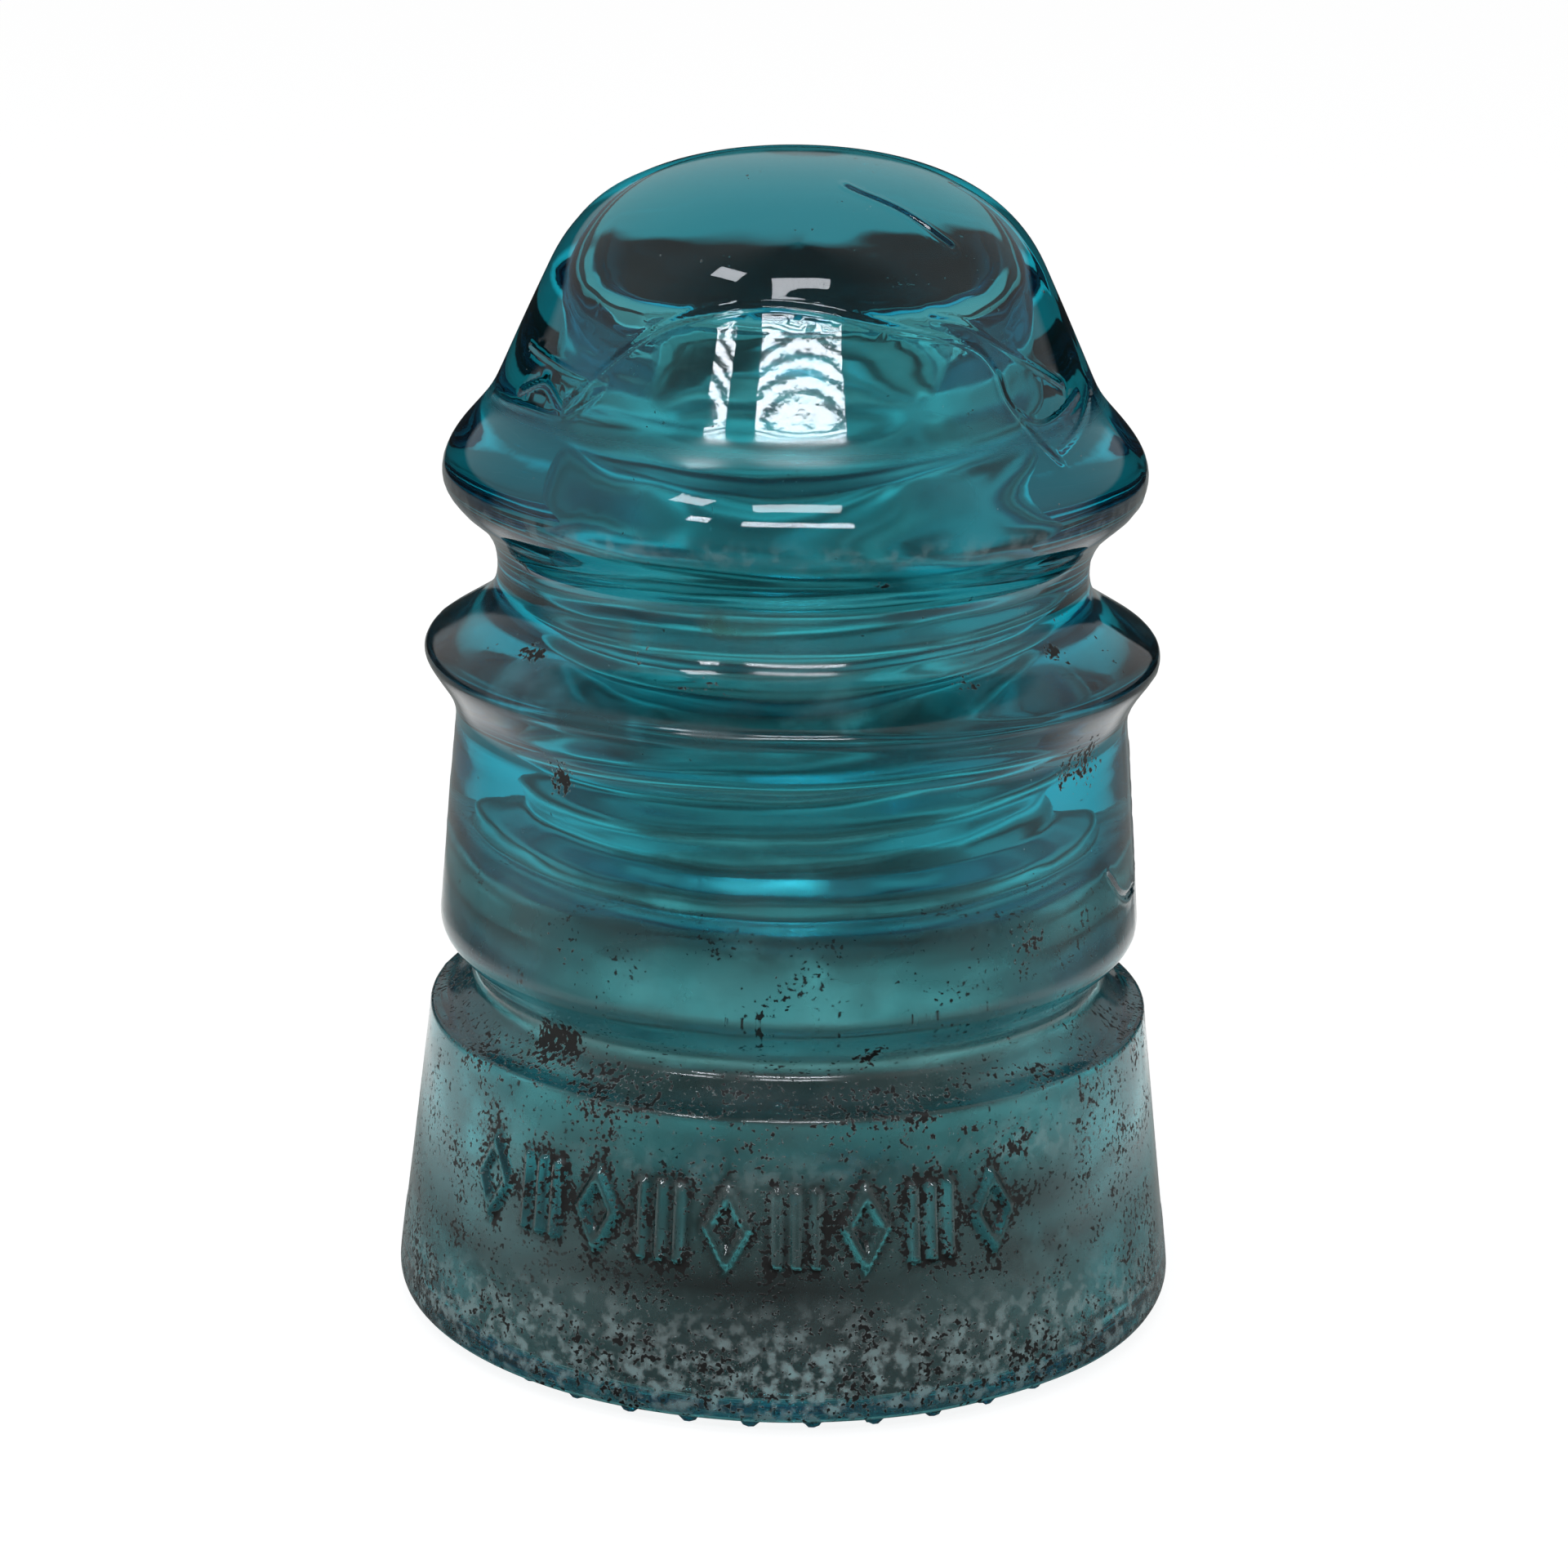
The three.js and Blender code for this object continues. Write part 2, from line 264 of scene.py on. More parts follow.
class Outline:
    """The insulator's half section as a smooth line that can be read at any distance along it."""

    FINE = 0.05  # mm between the points that the line is held by

    def __init__(self, corners: list[Corner]) -> None:
        """Sweep the corners' roundings and measure the line.

        Args:
            corners: The corners in order.
        """
        points, zones = [np.array([corners[0].radius, corners[0].height])], [corners[0].zone.value]
        for last, corner, following in zip(corners, corners[1:], corners[2:] + [None]):
            for point in self._rounded(last, corner, following):
                start = points[-1]
                steps = max(1, int(np.linalg.norm(point - start) / self.FINE))
                points += [start + (point - start) * i / steps for i in range(1, steps + 1)]
                zones += [corner.zone.value] * steps
        held = np.array(points)
        keep = np.r_[True, np.linalg.norm(np.diff(held, axis=0), axis=1) > 1e-6]
        held, self.zones = held[keep], np.array(zones)[keep]
        self.along = np.r_[0, np.cumsum(np.linalg.norm(np.diff(held, axis=0), axis=1))]
        self.length = float(self.along[-1])
        self.radius, self.height = held.T

    @staticmethod
    def _rounded(last: Corner, corner: Corner, following: Corner | None) -> list[np.ndarray]:
        """Round one corner by a parabola that touches both sides.

        Args:
            last: The corner before it.
            corner: The corner.
            following: The corner after it, if any.

        Returns:
            The rounding's points, or the corner itself where it is sharp.
        """
        at = np.array([corner.radius, corner.height])
        if following is None or corner.before == 0:
            return [at]
        back = np.array([last.radius, last.height]) - at
        ahead = np.array([following.radius, following.height]) - at
        start = at + back * corner.before / np.linalg.norm(back)
        end = at + ahead * corner.after / np.linalg.norm(ahead)
        t = np.linspace(0, 1, ROUNDING_POINTS)[:, None]
        return list((1 - t) ** 2 * start + 2 * t * (1 - t) * at + t * t * end)

    def at(self, along: np.ndarray) -> tuple[np.ndarray, np.ndarray]:
        """Radius and height at distances along the line."""
        return np.interp(along, self.along, self.radius), np.interp(along, self.along, self.height)

    def outside_radius(self, height: np.ndarray) -> np.ndarray:
        """Radius of the outside at heights."""
        outer = self.zones == Zone.OUTSIDE.value
        return np.interp(height, self.height[outer][::-1], self.radius[outer][::-1])

    def facing(self, along: np.ndarray, reach: float = 0.12) -> tuple[np.ndarray, np.ndarray]:
        """The outward direction at distances along the line.

        Args:
            along: Distances in mm.
            reach: How far each way the line's slope is read.

        Returns:
            The direction's radial and upward parts.
        """
        radius_0, height_0 = self.at(np.maximum(along - reach, 0))
        radius_1, height_1 = self.at(np.minimum(along + reach, self.length))
        run, rise = radius_1 - radius_0, height_1 - height_0
        size = np.maximum(np.hypot(run, rise), 1e-9)
        return -rise / size, run / size

    def rows(self, widest: float, finest: float, turn: float) -> np.ndarray:
        """Distances for the mesh's rows, closer together where the line bends.

        Args:
            widest: Most mm between rows.
            finest: Least mm between rows.
            turn: Radians that the line may turn between rows.

        Returns:
            Distances from 0 to the line's whole length.
        """
        fine = np.linspace(0, self.length, int(self.length / self.FINE))
        facing = np.unwrap(np.arctan2(*self.facing(fine)))
        bend = np.abs(np.gradient(facing, fine))
        density = np.clip(bend / turn, 1 / widest, 1 / finest)
        density = np.convolve(np.pad(density, 8, "edge"), np.ones(17) / 17, "valid")
        tally = np.r_[0, np.cumsum((density[1:] + density[:-1]) / 2 * np.diff(fine))]
        return np.interp(np.linspace(0, tally[-1], int(tally[-1]) + 1), tally, fine)


# ---------------------------------------------------------------- reliefs


class Pattern(IntEnum):
    """The seeds of the noises that shape the surface."""

    SWELL = 1
    WRINKLE = 2
    FINE_WRINKLE = 3
    CHILL = 4
    FINE_CHILL = 5
    PLUNGER_WRINKLE = 6
    SEAM = 11
    THREAD = 21
    MARK_WEAR = 31
    FILM = 41


@dataclass
class Places:
    """Every vertex before the reliefs: angle from -Y towards +X, place on the outline, and zone."""

    angle: np.ndarray
    along: np.ndarray
    radius: np.ndarray
    height: np.ndarray
    zone: np.ndarray

    @property
    def xyz(self) -> np.ndarray:
        """The places in space, in mm."""
        flat = [self.radius * np.sin(self.angle), -self.radius * np.cos(self.angle)]
        return np.stack([*flat, self.height], axis=1)

    def on(self, zone: Zone) -> np.ndarray:
        """1 on a zone and 0 elsewhere."""
        return (self.zone == zone.value).astype(float)

    def swell(self, wave_mm: tuple[float, float], seed: int) -> np.ndarray:
        """Noise with its own wavelengths across and up, in mm."""
        across, up = wave_mm
        return lattice_noise(self.xyz * 2 / np.array([across, across, up]), seed)


class Relief(Protocol):
    """Something that shapes the surface beyond its outline."""

    def push(self, places: Places, sizes: GlassSizes) -> np.ndarray:
        """Millimetres outwards at each place."""
        ...


@dataclass(frozen=True)
class MouldWaves:
    """What a cool mould leaves in hot glass: slow swells all over, and level wrinkles in the grooves.

    Depths are in mm, and a wave is its length across and up, in mm.
    """

    dome_swell: float = 0.004
    body_swell: float = 0.06
    wrinkle: float = 0.035
    plunger_swell: float = 0.16
    plunger_wrinkle: float = 0.05
    swell_wave: tuple[float, float] = (17, 14)
    wrinkle_wave: tuple[float, float] = (15, 1.7)
    fine_wrinkle_wave: tuple[float, float] = (8, 0.9)
    chill_wave: tuple[float, float] = (9, 6)
    fine_chill_wave: tuple[float, float] = (4, 3)
    plunger_wave: tuple[float, float] = (7, 1.3)

    def push(self, places: Places, sizes: GlassSizes) -> np.ndarray:
        """Press the swells and wrinkles in.

        Args:
            places: The surface before the reliefs.
            sizes: The insulator's sizes.

        Returns:
            Millimetres outwards at each place.
        """
        outside, inner = places.on(Zone.OUTSIDE), places.on(Zone.CAVITY) + places.on(Zone.PINHOLE)
        dome = smooth_step(sizes.upper_ridge_height, sizes.dome_foot_height + 2, places.height)
        slow = places.swell(self.swell_wave, Pattern.SWELL)
        wrinkles = places.swell(self.wrinkle_wave, Pattern.WRINKLE) * 0.65
        wrinkles += places.swell(self.fine_wrinkle_wave, Pattern.FINE_WRINKLE) * 0.35
        grooves = (1 - dome) * smooth_step(sizes.lip_height, sizes.lip_height + 4, places.height)
        push = outside * slow * (self.dome_swell * dome + self.body_swell * (1 - dome))
        push += outside * wrinkles * self.wrinkle * grooves
        chill = places.swell(self.chill_wave, Pattern.CHILL) * 0.6
        chill += places.swell(self.fine_chill_wave, Pattern.FINE_CHILL) * 0.25
        ripples = places.swell(self.plunger_wave, Pattern.PLUNGER_WRINKLE)
        push += inner * (chill * self.plunger_swell + ripples * self.plunger_wrinkle)
        return push


@dataclass(frozen=True)
class FlankCrown:
    """The dome's flank is very slightly barrelled, as its mould was turned."""

    rise: float = 0.03

    def push(self, places: Places, sizes: GlassSizes) -> np.ndarray:
        """Swell the flank between the foot and the crown.

        Args:
            places: The surface before the reliefs.
            sizes: The insulator's sizes.

        Returns:
            Millimetres outwards at each place.
        """
        foot, top = sizes.dome_foot_height + 1.5, sizes.crown_height - 7.5
        t = np.clip((places.height - foot) / (top - foot), 0, 1)
        return places.on(Zone.OUTSIDE) * self.rise * (4 * t * (1 - t)) ** 1.5


@dataclass(frozen=True)
class MouldSeams:
    """The two upright seams of a two-part mould, and the level one where it meets the base ring."""

    turn_deg: float = 78.0
    width: float = 0.32
    rise: float = 0.09
    ring_height: float = 6.55
    ring_width: float = 0.3
    ring_step: float = 0.07
    wander: float = 0.25
    wander_mm: float = 7.0

    def push(self, places: Places, sizes: GlassSizes) -> np.ndarray:
        """Raise the two seams, and the ring with the shelf below it.

        Args:
            places: The surface before the reliefs.
            sizes: The insulator's sizes.

        Returns:
            Millimetres outwards at each place.
        """
        level = np.zeros_like(places.height)
        wander = lattice_noise(np.stack([places.height / self.wander_mm, level, level], 1), Pattern.SEAM)
        gap = np.zeros_like(places.angle) + FAR_AWAY
        for turn in (self.turn_deg, self.turn_deg + 180):
            away = (places.angle - math.radians(turn) + math.pi) % (2 * math.pi) - math.pi
            gap = np.minimum(gap, np.abs(away * places.radius + wander * self.wander))
        above = smooth_step(self.ring_height - 0.1, self.ring_height + 0.1, places.height)
        fade = above * (1 - smooth_step(sizes.crown_height - 4, sizes.crown_height - 1, places.height))
        seam = self.rise * np.exp(-((gap / self.width) ** 2)) * fade
        ring = self.ring_step * np.exp(-(((places.height - self.ring_height) / self.ring_width) ** 2))
        shelf = self.ring_step * 0.8 * (1 - above) * smooth_step(1, 4, places.height)
        return places.on(Zone.OUTSIDE) * (seam + ring + shelf)


@dataclass(frozen=True)
class ScrewThread:
    """The pinhole's right-handed round thread, which dies away at both ends, slowly at the top."""

    fade: float = 3.0
    top_fade: float = 11.0
    top_clearance: float = 4.0
    wander: float = 0.35  # radians

    def push(self, places: Places, sizes: GlassSizes) -> np.ndarray:
        """Cut the thread. Out of the glass is inwards to the axis.

        Args:
            places: The surface before the reliefs.
            sizes: The insulator's sizes.

        Returns:
            Millimetres outwards at each place.
        """
        top = sizes.ceiling_height - self.top_clearance
        ends = smooth_step(sizes.thread_foot, sizes.thread_foot + self.fade, places.height)
        ends *= 1 - smooth_step(top - self.top_fade, top, places.height)
        phase = 2 * math.pi * places.height / sizes.thread_pitch - (places.angle - math.pi / 2)
        wave = np.cos(phase + self.wander * places.swell((20, 20), Pattern.THREAD))
        return -places.on(Zone.PINHOLE) * ends * wave * sizes.thread_depth / 2


@dataclass(frozen=True)
class DripPoints:
    """A ring of rounded points under the rim, where water leaves the glass."""

    count: int = 38
    rise: float = 1.0
    base_radius: float = 1.25
    tip_radius: float = 0.5
    inset: float = 2.9

    def push(self, places: Places, sizes: GlassSizes) -> np.ndarray:
        """Lower the points from the rim. Outwards is downwards there.

        Args:
            places: The surface before the reliefs.
            sizes: The insulator's sizes.

        Returns:
            Millimetres outwards at each place.
        """
        ring = sizes.base_radius - self.inset
        pitch = 2 * math.pi / self.count
        away = (places.angle - math.pi / 2 + pitch / 2) % pitch - pitch / 2
        gap = np.hypot(away * ring, places.radius - ring)
        under = smooth_step(sizes.rim_height + 0.5, sizes.rim_height + 0.1, places.height)
        return under * self.rise * (1 - smooth_step(self.tip_radius, self.base_radius, gap))


@dataclass(frozen=True)
class RaisedMarks:
    """Lozenges and groups of three reeds, in turn, raised on the front of the skirt."""

    count: int = 9
    pitch_deg: float = 10.05
    middle_deg: float = -8.2
    centre: float = 16.4
    tall: float = 6.2
    wide: float = 3.7
    stroke: float = 0.8
    rise: float = 0.65

    def _lozenge(self, across: np.ndarray, up: np.ndarray) -> np.ndarray:
        """Draw a four-cornered ring.

        Args:
            across: Mm to the right of the mark's middle.
            up: Mm above it.

        Returns:
            Distance in mm from the stroke's middle line.
        """
        half_wide, half_tall = (self.wide - self.stroke) / 2, (self.tall - self.stroke) / 2
        edge = half_wide * half_tall / math.hypot(half_wide, half_tall)
        return np.abs(np.abs(across) / half_wide + np.abs(up) / half_tall - 1) * edge

    def _reeds(self, across: np.ndarray, up: np.ndarray) -> np.ndarray:
        """Draw three upright bars.

        Args:
            across: Mm to the right of the mark's middle.
            up: Mm above it.

        Returns:
            Distance in mm from the nearest bar's middle line.
        """
        pitch = (self.wide - self.stroke) / 2
        near = np.clip(np.round(across / pitch), -1, 1) * pitch
        beyond = np.maximum(np.abs(up) - (self.tall - self.stroke) / 2, 0)
        return np.hypot(across - near, beyond)

    def gap(self, places: Places) -> np.ndarray:
        """Find the nearest stroke.

        Args:
            places: The surface.

        Returns:
            Distance in mm from its middle line, and a huge one where no mark is near.
        """
        up = places.height - self.centre
        best = np.full_like(up, FAR_AWAY)
        for i in range(self.count):
            turn = math.radians(self.middle_deg + (i - (self.count - 1) / 2) * self.pitch_deg)
            across = (places.angle - turn) * places.radius
            shape = self._reeds if i % 2 else self._lozenge
            near = (np.abs(across) < self.wide) & (np.abs(up) < self.tall)
            best = np.where(near, np.minimum(best, shape(across, up)), best)
        return best

    def push(self, places: Places, sizes: GlassSizes) -> np.ndarray:
        """Raise the strokes, a little worn.

        Args:
            places: The surface before the reliefs.
            sizes: The insulator's sizes.

        Returns:
            Millimetres outwards at each place.
        """
        half = self.stroke / 2
        worn = 1 - 0.2 * (places.swell((7, 7), Pattern.MARK_WEAR) + 1)
        raised = 1 - smooth_step(half * 0.6, half * 1.15, self.gap(places))
        return places.on(Zone.OUTSIDE) * self.rise * worn * raised


@dataclass(frozen=True)
class Fold:
    """A line where hot glass lapped over itself, through points of (turn in degrees, height in mm)."""

    points: tuple[tuple[float, float], ...]
    depth: float = 0.13

    def traced(self, outline: Outline) -> np.ndarray:
        """Draw the line smoothly through its points, on the outside.

        Args:
            outline: The insulator's half section.

        Returns:
            Close-set places in mm.
        """
        knots = np.array(self.points, float)
        knots = np.vstack([2 * knots[0] - knots[1], knots, 2 * knots[-1] - knots[-2]])
        t = np.linspace(0, 1, ROUNDING_POINTS)[:, None]
        runs = []
        for a, b, c, d in zip(knots, knots[1:], knots[2:], knots[3:]):
            square, cube = 2 * a - 5 * b + 4 * c - d, 3 * b - a - 3 * c + d
            runs.append(0.5 * (2 * b + (c - a) * t + square * t**2 + cube * t**3))
        turn, height = np.vstack(runs).T
        radius, angle = outline.outside_radius(height), np.radians(turn)
        return np.stack([radius * np.sin(angle), -radius * np.cos(angle), height], axis=1)


class ColdFolds:
    """The laps and wrinkles of the dome and the body, pressed a little into the surface."""

    WIDTH = 0.2
    REACH = 0.75
    ROLL = 0.35
    LINES = (
        Fold(((-49, 75), (-42, 78), (-35, 80.3), (-26, 82.2), (-9, 83.5), (4, 83.3), (17, 82.3), (37, 80.5),
              (43, 78.6), (44, 76.4), (48, 73.8), (51, 71.8))),
        Fold(((-49, 75), (-57, 76.3), (-65, 75.2))),
        Fold(((21, 90.8), (34, 89.4), (43, 87)), 0.2),
        Fold(((-80, 73.9), (-61, 74.3), (-48, 74.6), (-40, 76.8)), 0.1),
        Fold(((-70, 78.4), (-50, 77.6), (-40, 77.4)), 0.08),
        Fold(((30, 82.4), (38, 81.7), (48, 79.6), (63, 76.4)), 0.1),
        Fold(((45, 75.7), (52, 74.2), (69, 75.4)), 0.1),
        Fold(((79, 75.3), (64, 73.4), (53, 72.4)), 0.1),
        Fold(((86, 46), (84, 41), (82.4, 36.8), (76, 35.6), (69.7, 36.3), (64, 38.6)), 0.2),
        Fold(((160, 77), (175, 80), (190, 79), (205, 76)), 0.06),
        Fold(((-130, 36), (-120, 38.5), (-108, 37.5)), 0.07),
    )

    def __init__(self, outline: Outline) -> None:
        """Trace every line on the outline's surface.

        Args:
            outline: The insulator's half section.
        """
        traced = [(place, line.depth) for line in self.LINES for place in line.traced(outline)]
        self.depths = np.array([depth for _, depth in traced])
        self.tree = KDTree(len(traced))
        for i, (place, _) in enumerate(traced):
            self.tree.insert(place, i)
        self.tree.balance()

    def near(self, middle: Vector) -> bool:
        """Whether a face's middle lies beside a line."""
        return self.tree.find(middle)[2] < self.REACH

    def push(self, places: Places, sizes: GlassSizes) -> np.ndarray:
        """Press a groove along each line, with a low roll on both sides.

        Args:
            places: The surface before the reliefs.
            sizes: The insulator's sizes.

        Returns:
            Millimetres outwards at each place.
        """
        found = [self.tree.find(place)[1:] for place in places.xyz]
        index, gap = np.array([i for i, _ in found]), np.array([g for _, g in found])
        roll = self.ROLL * np.exp(-(((gap - 2 * self.WIDTH) / self.WIDTH) ** 2))
        groove = np.exp(-((gap / self.WIDTH) ** 2)) - roll
        return -places.on(Zone.OUTSIDE) * self.depths[index] * groove


# ---------------------------------------------------------------- dirt


class Dirt(Enum):
    """Kinds of weathering that the surface carries, each painted on the mesh as an amount; smoke and soot
    also carry painted shade.
    """

    FILM = "film"
    SKIN = "skin"
    SOOT = "soot"
    SMOKE = "smoke"
    FROST = "frost"
    RUST = "rust"


@dataclass(frozen=True)
class Patch:
    """One soft-edged patch of dirt: its middle, its size, its amount, and the zone that it lies on."""

    turn_deg: float
    height: float
    wide_deg: float
    tall: float
    amount: float
    zone: Zone = Zone.OUTSIDE

    def cover(self, places: Places) -> np.ndarray:
        """Lay the patch.

        Args:
            places: The surface.

        Returns:
            The patch's amount at each place.
        """
        away = (np.degrees(places.angle) - self.turn_deg + 180) % 360 - 180
        spread = (away / self.wide_deg) ** 2 + ((places.height - self.height) / self.tall) ** 2
        return places.on(self.zone) * self.amount * np.exp(-spread)


SOOT_AND_SHADE_PATCHES = (
    Patch(-43, 26.4, 6, 2.2, 1.25),
    Patch(-47, 27.8, 3, 1.0, 0.8),
    Patch(14, 28.2, 5, 1.8, 0.85),
    Patch(28, 22.8, 5, 1.2, 0.9),
    Patch(36, 20.6, 5, 2.0, 0.8),
    Patch(6, 25.6, 6, 0.6, 0.6),
    Patch(15, 64.3, 3.2, 0.35, 1.0),
    Patch(-59, 62.6, 2.5, 1.6, 0.55),
    # Painted shade: two dark spots by the wire groove, where the glass refracts something dark.
    Patch(-51, 56.6, 5, 0.7, 1.0),
    Patch(53, 56.9, 4, 0.6, 1.0),
    Patch(-40, 48.2, 4, 1.8, 0.85),
    Patch(56, 48.4, 12, 2.6, 0.74),
    Patch(44, 49.0, 8, 1.4, 0.5),
    Patch(-38, 34.9, 5, 1.4, 0.8),
    Patch(42, 35.7, 8, 2.2, 0.7),
    Patch(50, 24.0, 14, 1.6, 0.5),
    Patch(12, 4.3, 7, 1.6, 0.75),
    Patch(40, 8, 26, 3.0, 0.45),
    Patch(-30, 5, 30, 1.4, 0.42),
    Patch(-17, 56.4, 12, 0.5, 0.55),
    Patch(32, 56.2, 12, 0.6, 0.5),
    Patch(30, 12.0, 30, 4.0, 0.42),
    Patch(140, 26.5, 16, 2.0, 0.7),
    Patch(-150, 48.0, 14, 3.0, 0.6),
    Patch(-110, 8.0, 30, 4.0, 0.5),
    Patch(170, 60.0, 20, 1.5, 0.45),
    Patch(105, 36.0, 12, 3.0, 0.55),
)
SMOKE_AND_SHADE_PATCHES = (
    # The bands low on the skirt, 10 to 17 mm up, are painted shade: a dark band where the shaded hollow under
    # the insulator shows through the wall. The ring at 54.4 mm darkens the lower ridge all round.
    Patch(-8, 11.8, 34, 1.7, 0.97),
    Patch(-58, 10.4, 24, 3.4, 0.92),
    Patch(44, 12.6, 24, 2.8, 0.95),
    Patch(88, 10.2, 30, 3.2, 0.75),
    Patch(-98, 10.2, 30, 3.2, 0.75),
    Patch(180, 11.0, 60, 3.0, 0.7),
    Patch(-44, 16.4, 24, 3.8, 0.9),
    Patch(42, 17.0, 24, 3.8, 0.93),
    Patch(-2, 15.6, 20, 2.0, 0.12),
    Patch(0, 21.4, ALL_ROUND, 3.0, 0.38),
    Patch(0, 54.4, ALL_ROUND, 2.8, 0.8),
    Patch(0, 33.0, ALL_ROUND, 3.6, 0.3),
    Patch(0, 26.8, ALL_ROUND, 1.2, 0.35),
    Patch(0, 35.5, ALL_ROUND, 4.0, 0.85, Zone.CAVITY),
    Patch(0, 20.0, ALL_ROUND, 9.0, 0.3, Zone.CAVITY),
    Patch(0, 39.4, ALL_ROUND, 3.6, 0.8, Zone.PINHOLE),
)
FROST_PATCHES = (
    Patch(0, 4.2, ALL_ROUND, 3.4, 0.72),
    Patch(2, 4.6, 28, 4.0, 1.0),
    Patch(-34, 7.6, 26, 1.8, 0.62),
    Patch(30, 6.6, 30, 2.6, 0.72),
    Patch(-6, 20.4, 30, 1.6, 0.25),
    Patch(42, 20.5, 14, 2.4, 0.4),
    Patch(-20, 66.8, ALL_ROUND, 0.8, 0.2),
)
RUST_PATCHES = (
    Patch(-14, 60.5, 12, 1.6, 0.6),
    Patch(-28, 59.3, 9, 1.2, 0.5),
    Patch(-48, 26.6, 9, 1.4, 0.5),
    Patch(-5, 27.6, 20, 1.0, 0.3),
    Patch(160, 60.0, 24, 2.0, 0.5),
    Patch(100, 27.0, 16, 1.2, 0.4),
)


@dataclass(frozen=True)
class Weathering:
    """Decades of soot and dust: thick inside the skirt, in the grooves and round the base, with painted shade
    laid as smoke and soot: a dark band low on the skirt, two dark spots by the wire groove, dark outlines
    round the marks.
    """

    cavity_film: float = 0.16
    pinhole_film: float = 0.05
    skirt_film: float = 0.1
    groove_film: float = 0.18
    body_film: float = 0.1
    film_wave: tuple[float, float] = (16, 9)
    soot_all: float = 0.07
    soot_skirt: float = 0.4
    soot_neck: float = 0.16
    soot_wire: float = 0.1
    soot_foot: float = 0.08
    soot_rim: float = 0.4
    soot_cavity: float = 0.34
    soot_pinhole: float = 0.12
    # Dark outlines round the raised marks: partly grime lodged beside the strokes, partly painted shade where
    # the strokes refract dark.
    mark_grime_and_shade: float = 0.34
    mark_smoke_and_shade: float = 0.85
    ridge_film: float = 0.3
    marks: RaisedMarks = field(default_factory=RaisedMarks)

    def amounts(self, places: Places, sizes: GlassSizes) -> dict[Dirt, np.ndarray]:
        """Say how much of each kind of dirt lies where, and where smoke and soot lay painted shade.

        Args:
            places: The surface.
            sizes: The insulator's sizes.

        Returns:
            For each kind, its amount at each place, from 0 to 1.
        """
        height, outside = places.height, places.on(Zone.OUTSIDE)
        skirt = 1 - smooth_step(sizes.shoulder_height, sizes.neck_top, height)
        neck = np.exp(-(((height - sizes.neck_height) / 2.2) ** 2))
        wire = np.exp(-(((height - sizes.groove_height) / 3.5) ** 2))
        body = (1 - skirt) * (1 - smooth_step(sizes.lip_height + 6, sizes.body_top, height))
        ridge = np.exp(-(((height - sizes.lower_ridge_height) / 1.8) ** 2))
        foot = smooth_step(9, 5, height)
        film = self.skirt_film * skirt + self.groove_film * np.maximum(neck, 0.6 * wire)
        film = outside * (film + self.body_film * body + self.ridge_film * ridge)
        film += places.on(Zone.CAVITY) * self.cavity_film + places.on(Zone.RIM) * self.skirt_film
        film += places.on(Zone.PINHOLE) * self.pinhole_film
        film *= 0.8 + 0.5 * places.swell(self.film_wave, Pattern.FILM)
        soot = self.soot_all + self.soot_skirt * skirt + self.soot_neck * neck
        soot = outside * (soot + self.soot_wire * wire + self.soot_foot * foot)
        soot = soot + places.on(Zone.RIM) * self.soot_rim + places.on(Zone.CAVITY) * self.soot_cavity
        soot = soot + places.on(Zone.PINHOLE) * self.soot_pinhole
        stroke = self.marks.stroke
        gap = self.marks.gap(places)
        # The band beside each stroke, where grime and painted shade outline the mark.
        grime_and_shade_outline = smooth_step(stroke * 0.4, stroke * 0.6, gap)
        grime_and_shade_outline = grime_and_shade_outline * (1 - smooth_step(stroke * 0.9, stroke * 2, gap))
        soot = soot + outside * grime_and_shade_outline * self.mark_grime_and_shade
        soot = np.maximum(soot, self._laid(SOOT_AND_SHADE_PATCHES, places))
        rough_from, rough_by = sizes.ceiling_height - 2, sizes.ceiling_height - 9
        skin = places.on(Zone.PINHOLE) * smooth_step(rough_from, rough_by, height)
        skin += places.on(Zone.CAVITY)
        skin += outside * 1.4 * np.exp(-(((height - sizes.dome_foot_height) / 0.8) ** 2))
        return {
            Dirt.FILM: np.clip(film, 0, 1),
            Dirt.SKIN: skin,
            Dirt.SOOT: np.clip(soot, 0, 1),
            Dirt.SMOKE: np.maximum(self._laid(SMOKE_AND_SHADE_PATCHES, places), outside * grime_and_shade_outline * self.mark_smoke_and_shade),
            Dirt.FROST: self._laid(FROST_PATCHES, places),
            Dirt.RUST: self._laid(RUST_PATCHES, places),
        }

    @staticmethod
    def _laid(patches: tuple[Patch, ...], places: Places) -> np.ndarray:
        """The strongest of some patches at each place."""
        return np.max([patch.cover(places) for patch in patches], axis=0)


# ---------------------------------------------------------------- material


@dataclass(frozen=True)
class Grain:
    """A noise: its blobs' size in mm, its detail, and the levels between which it comes to show."""

    size: float
    detail: float
    low: float = 0.0
    high: float = 1.0


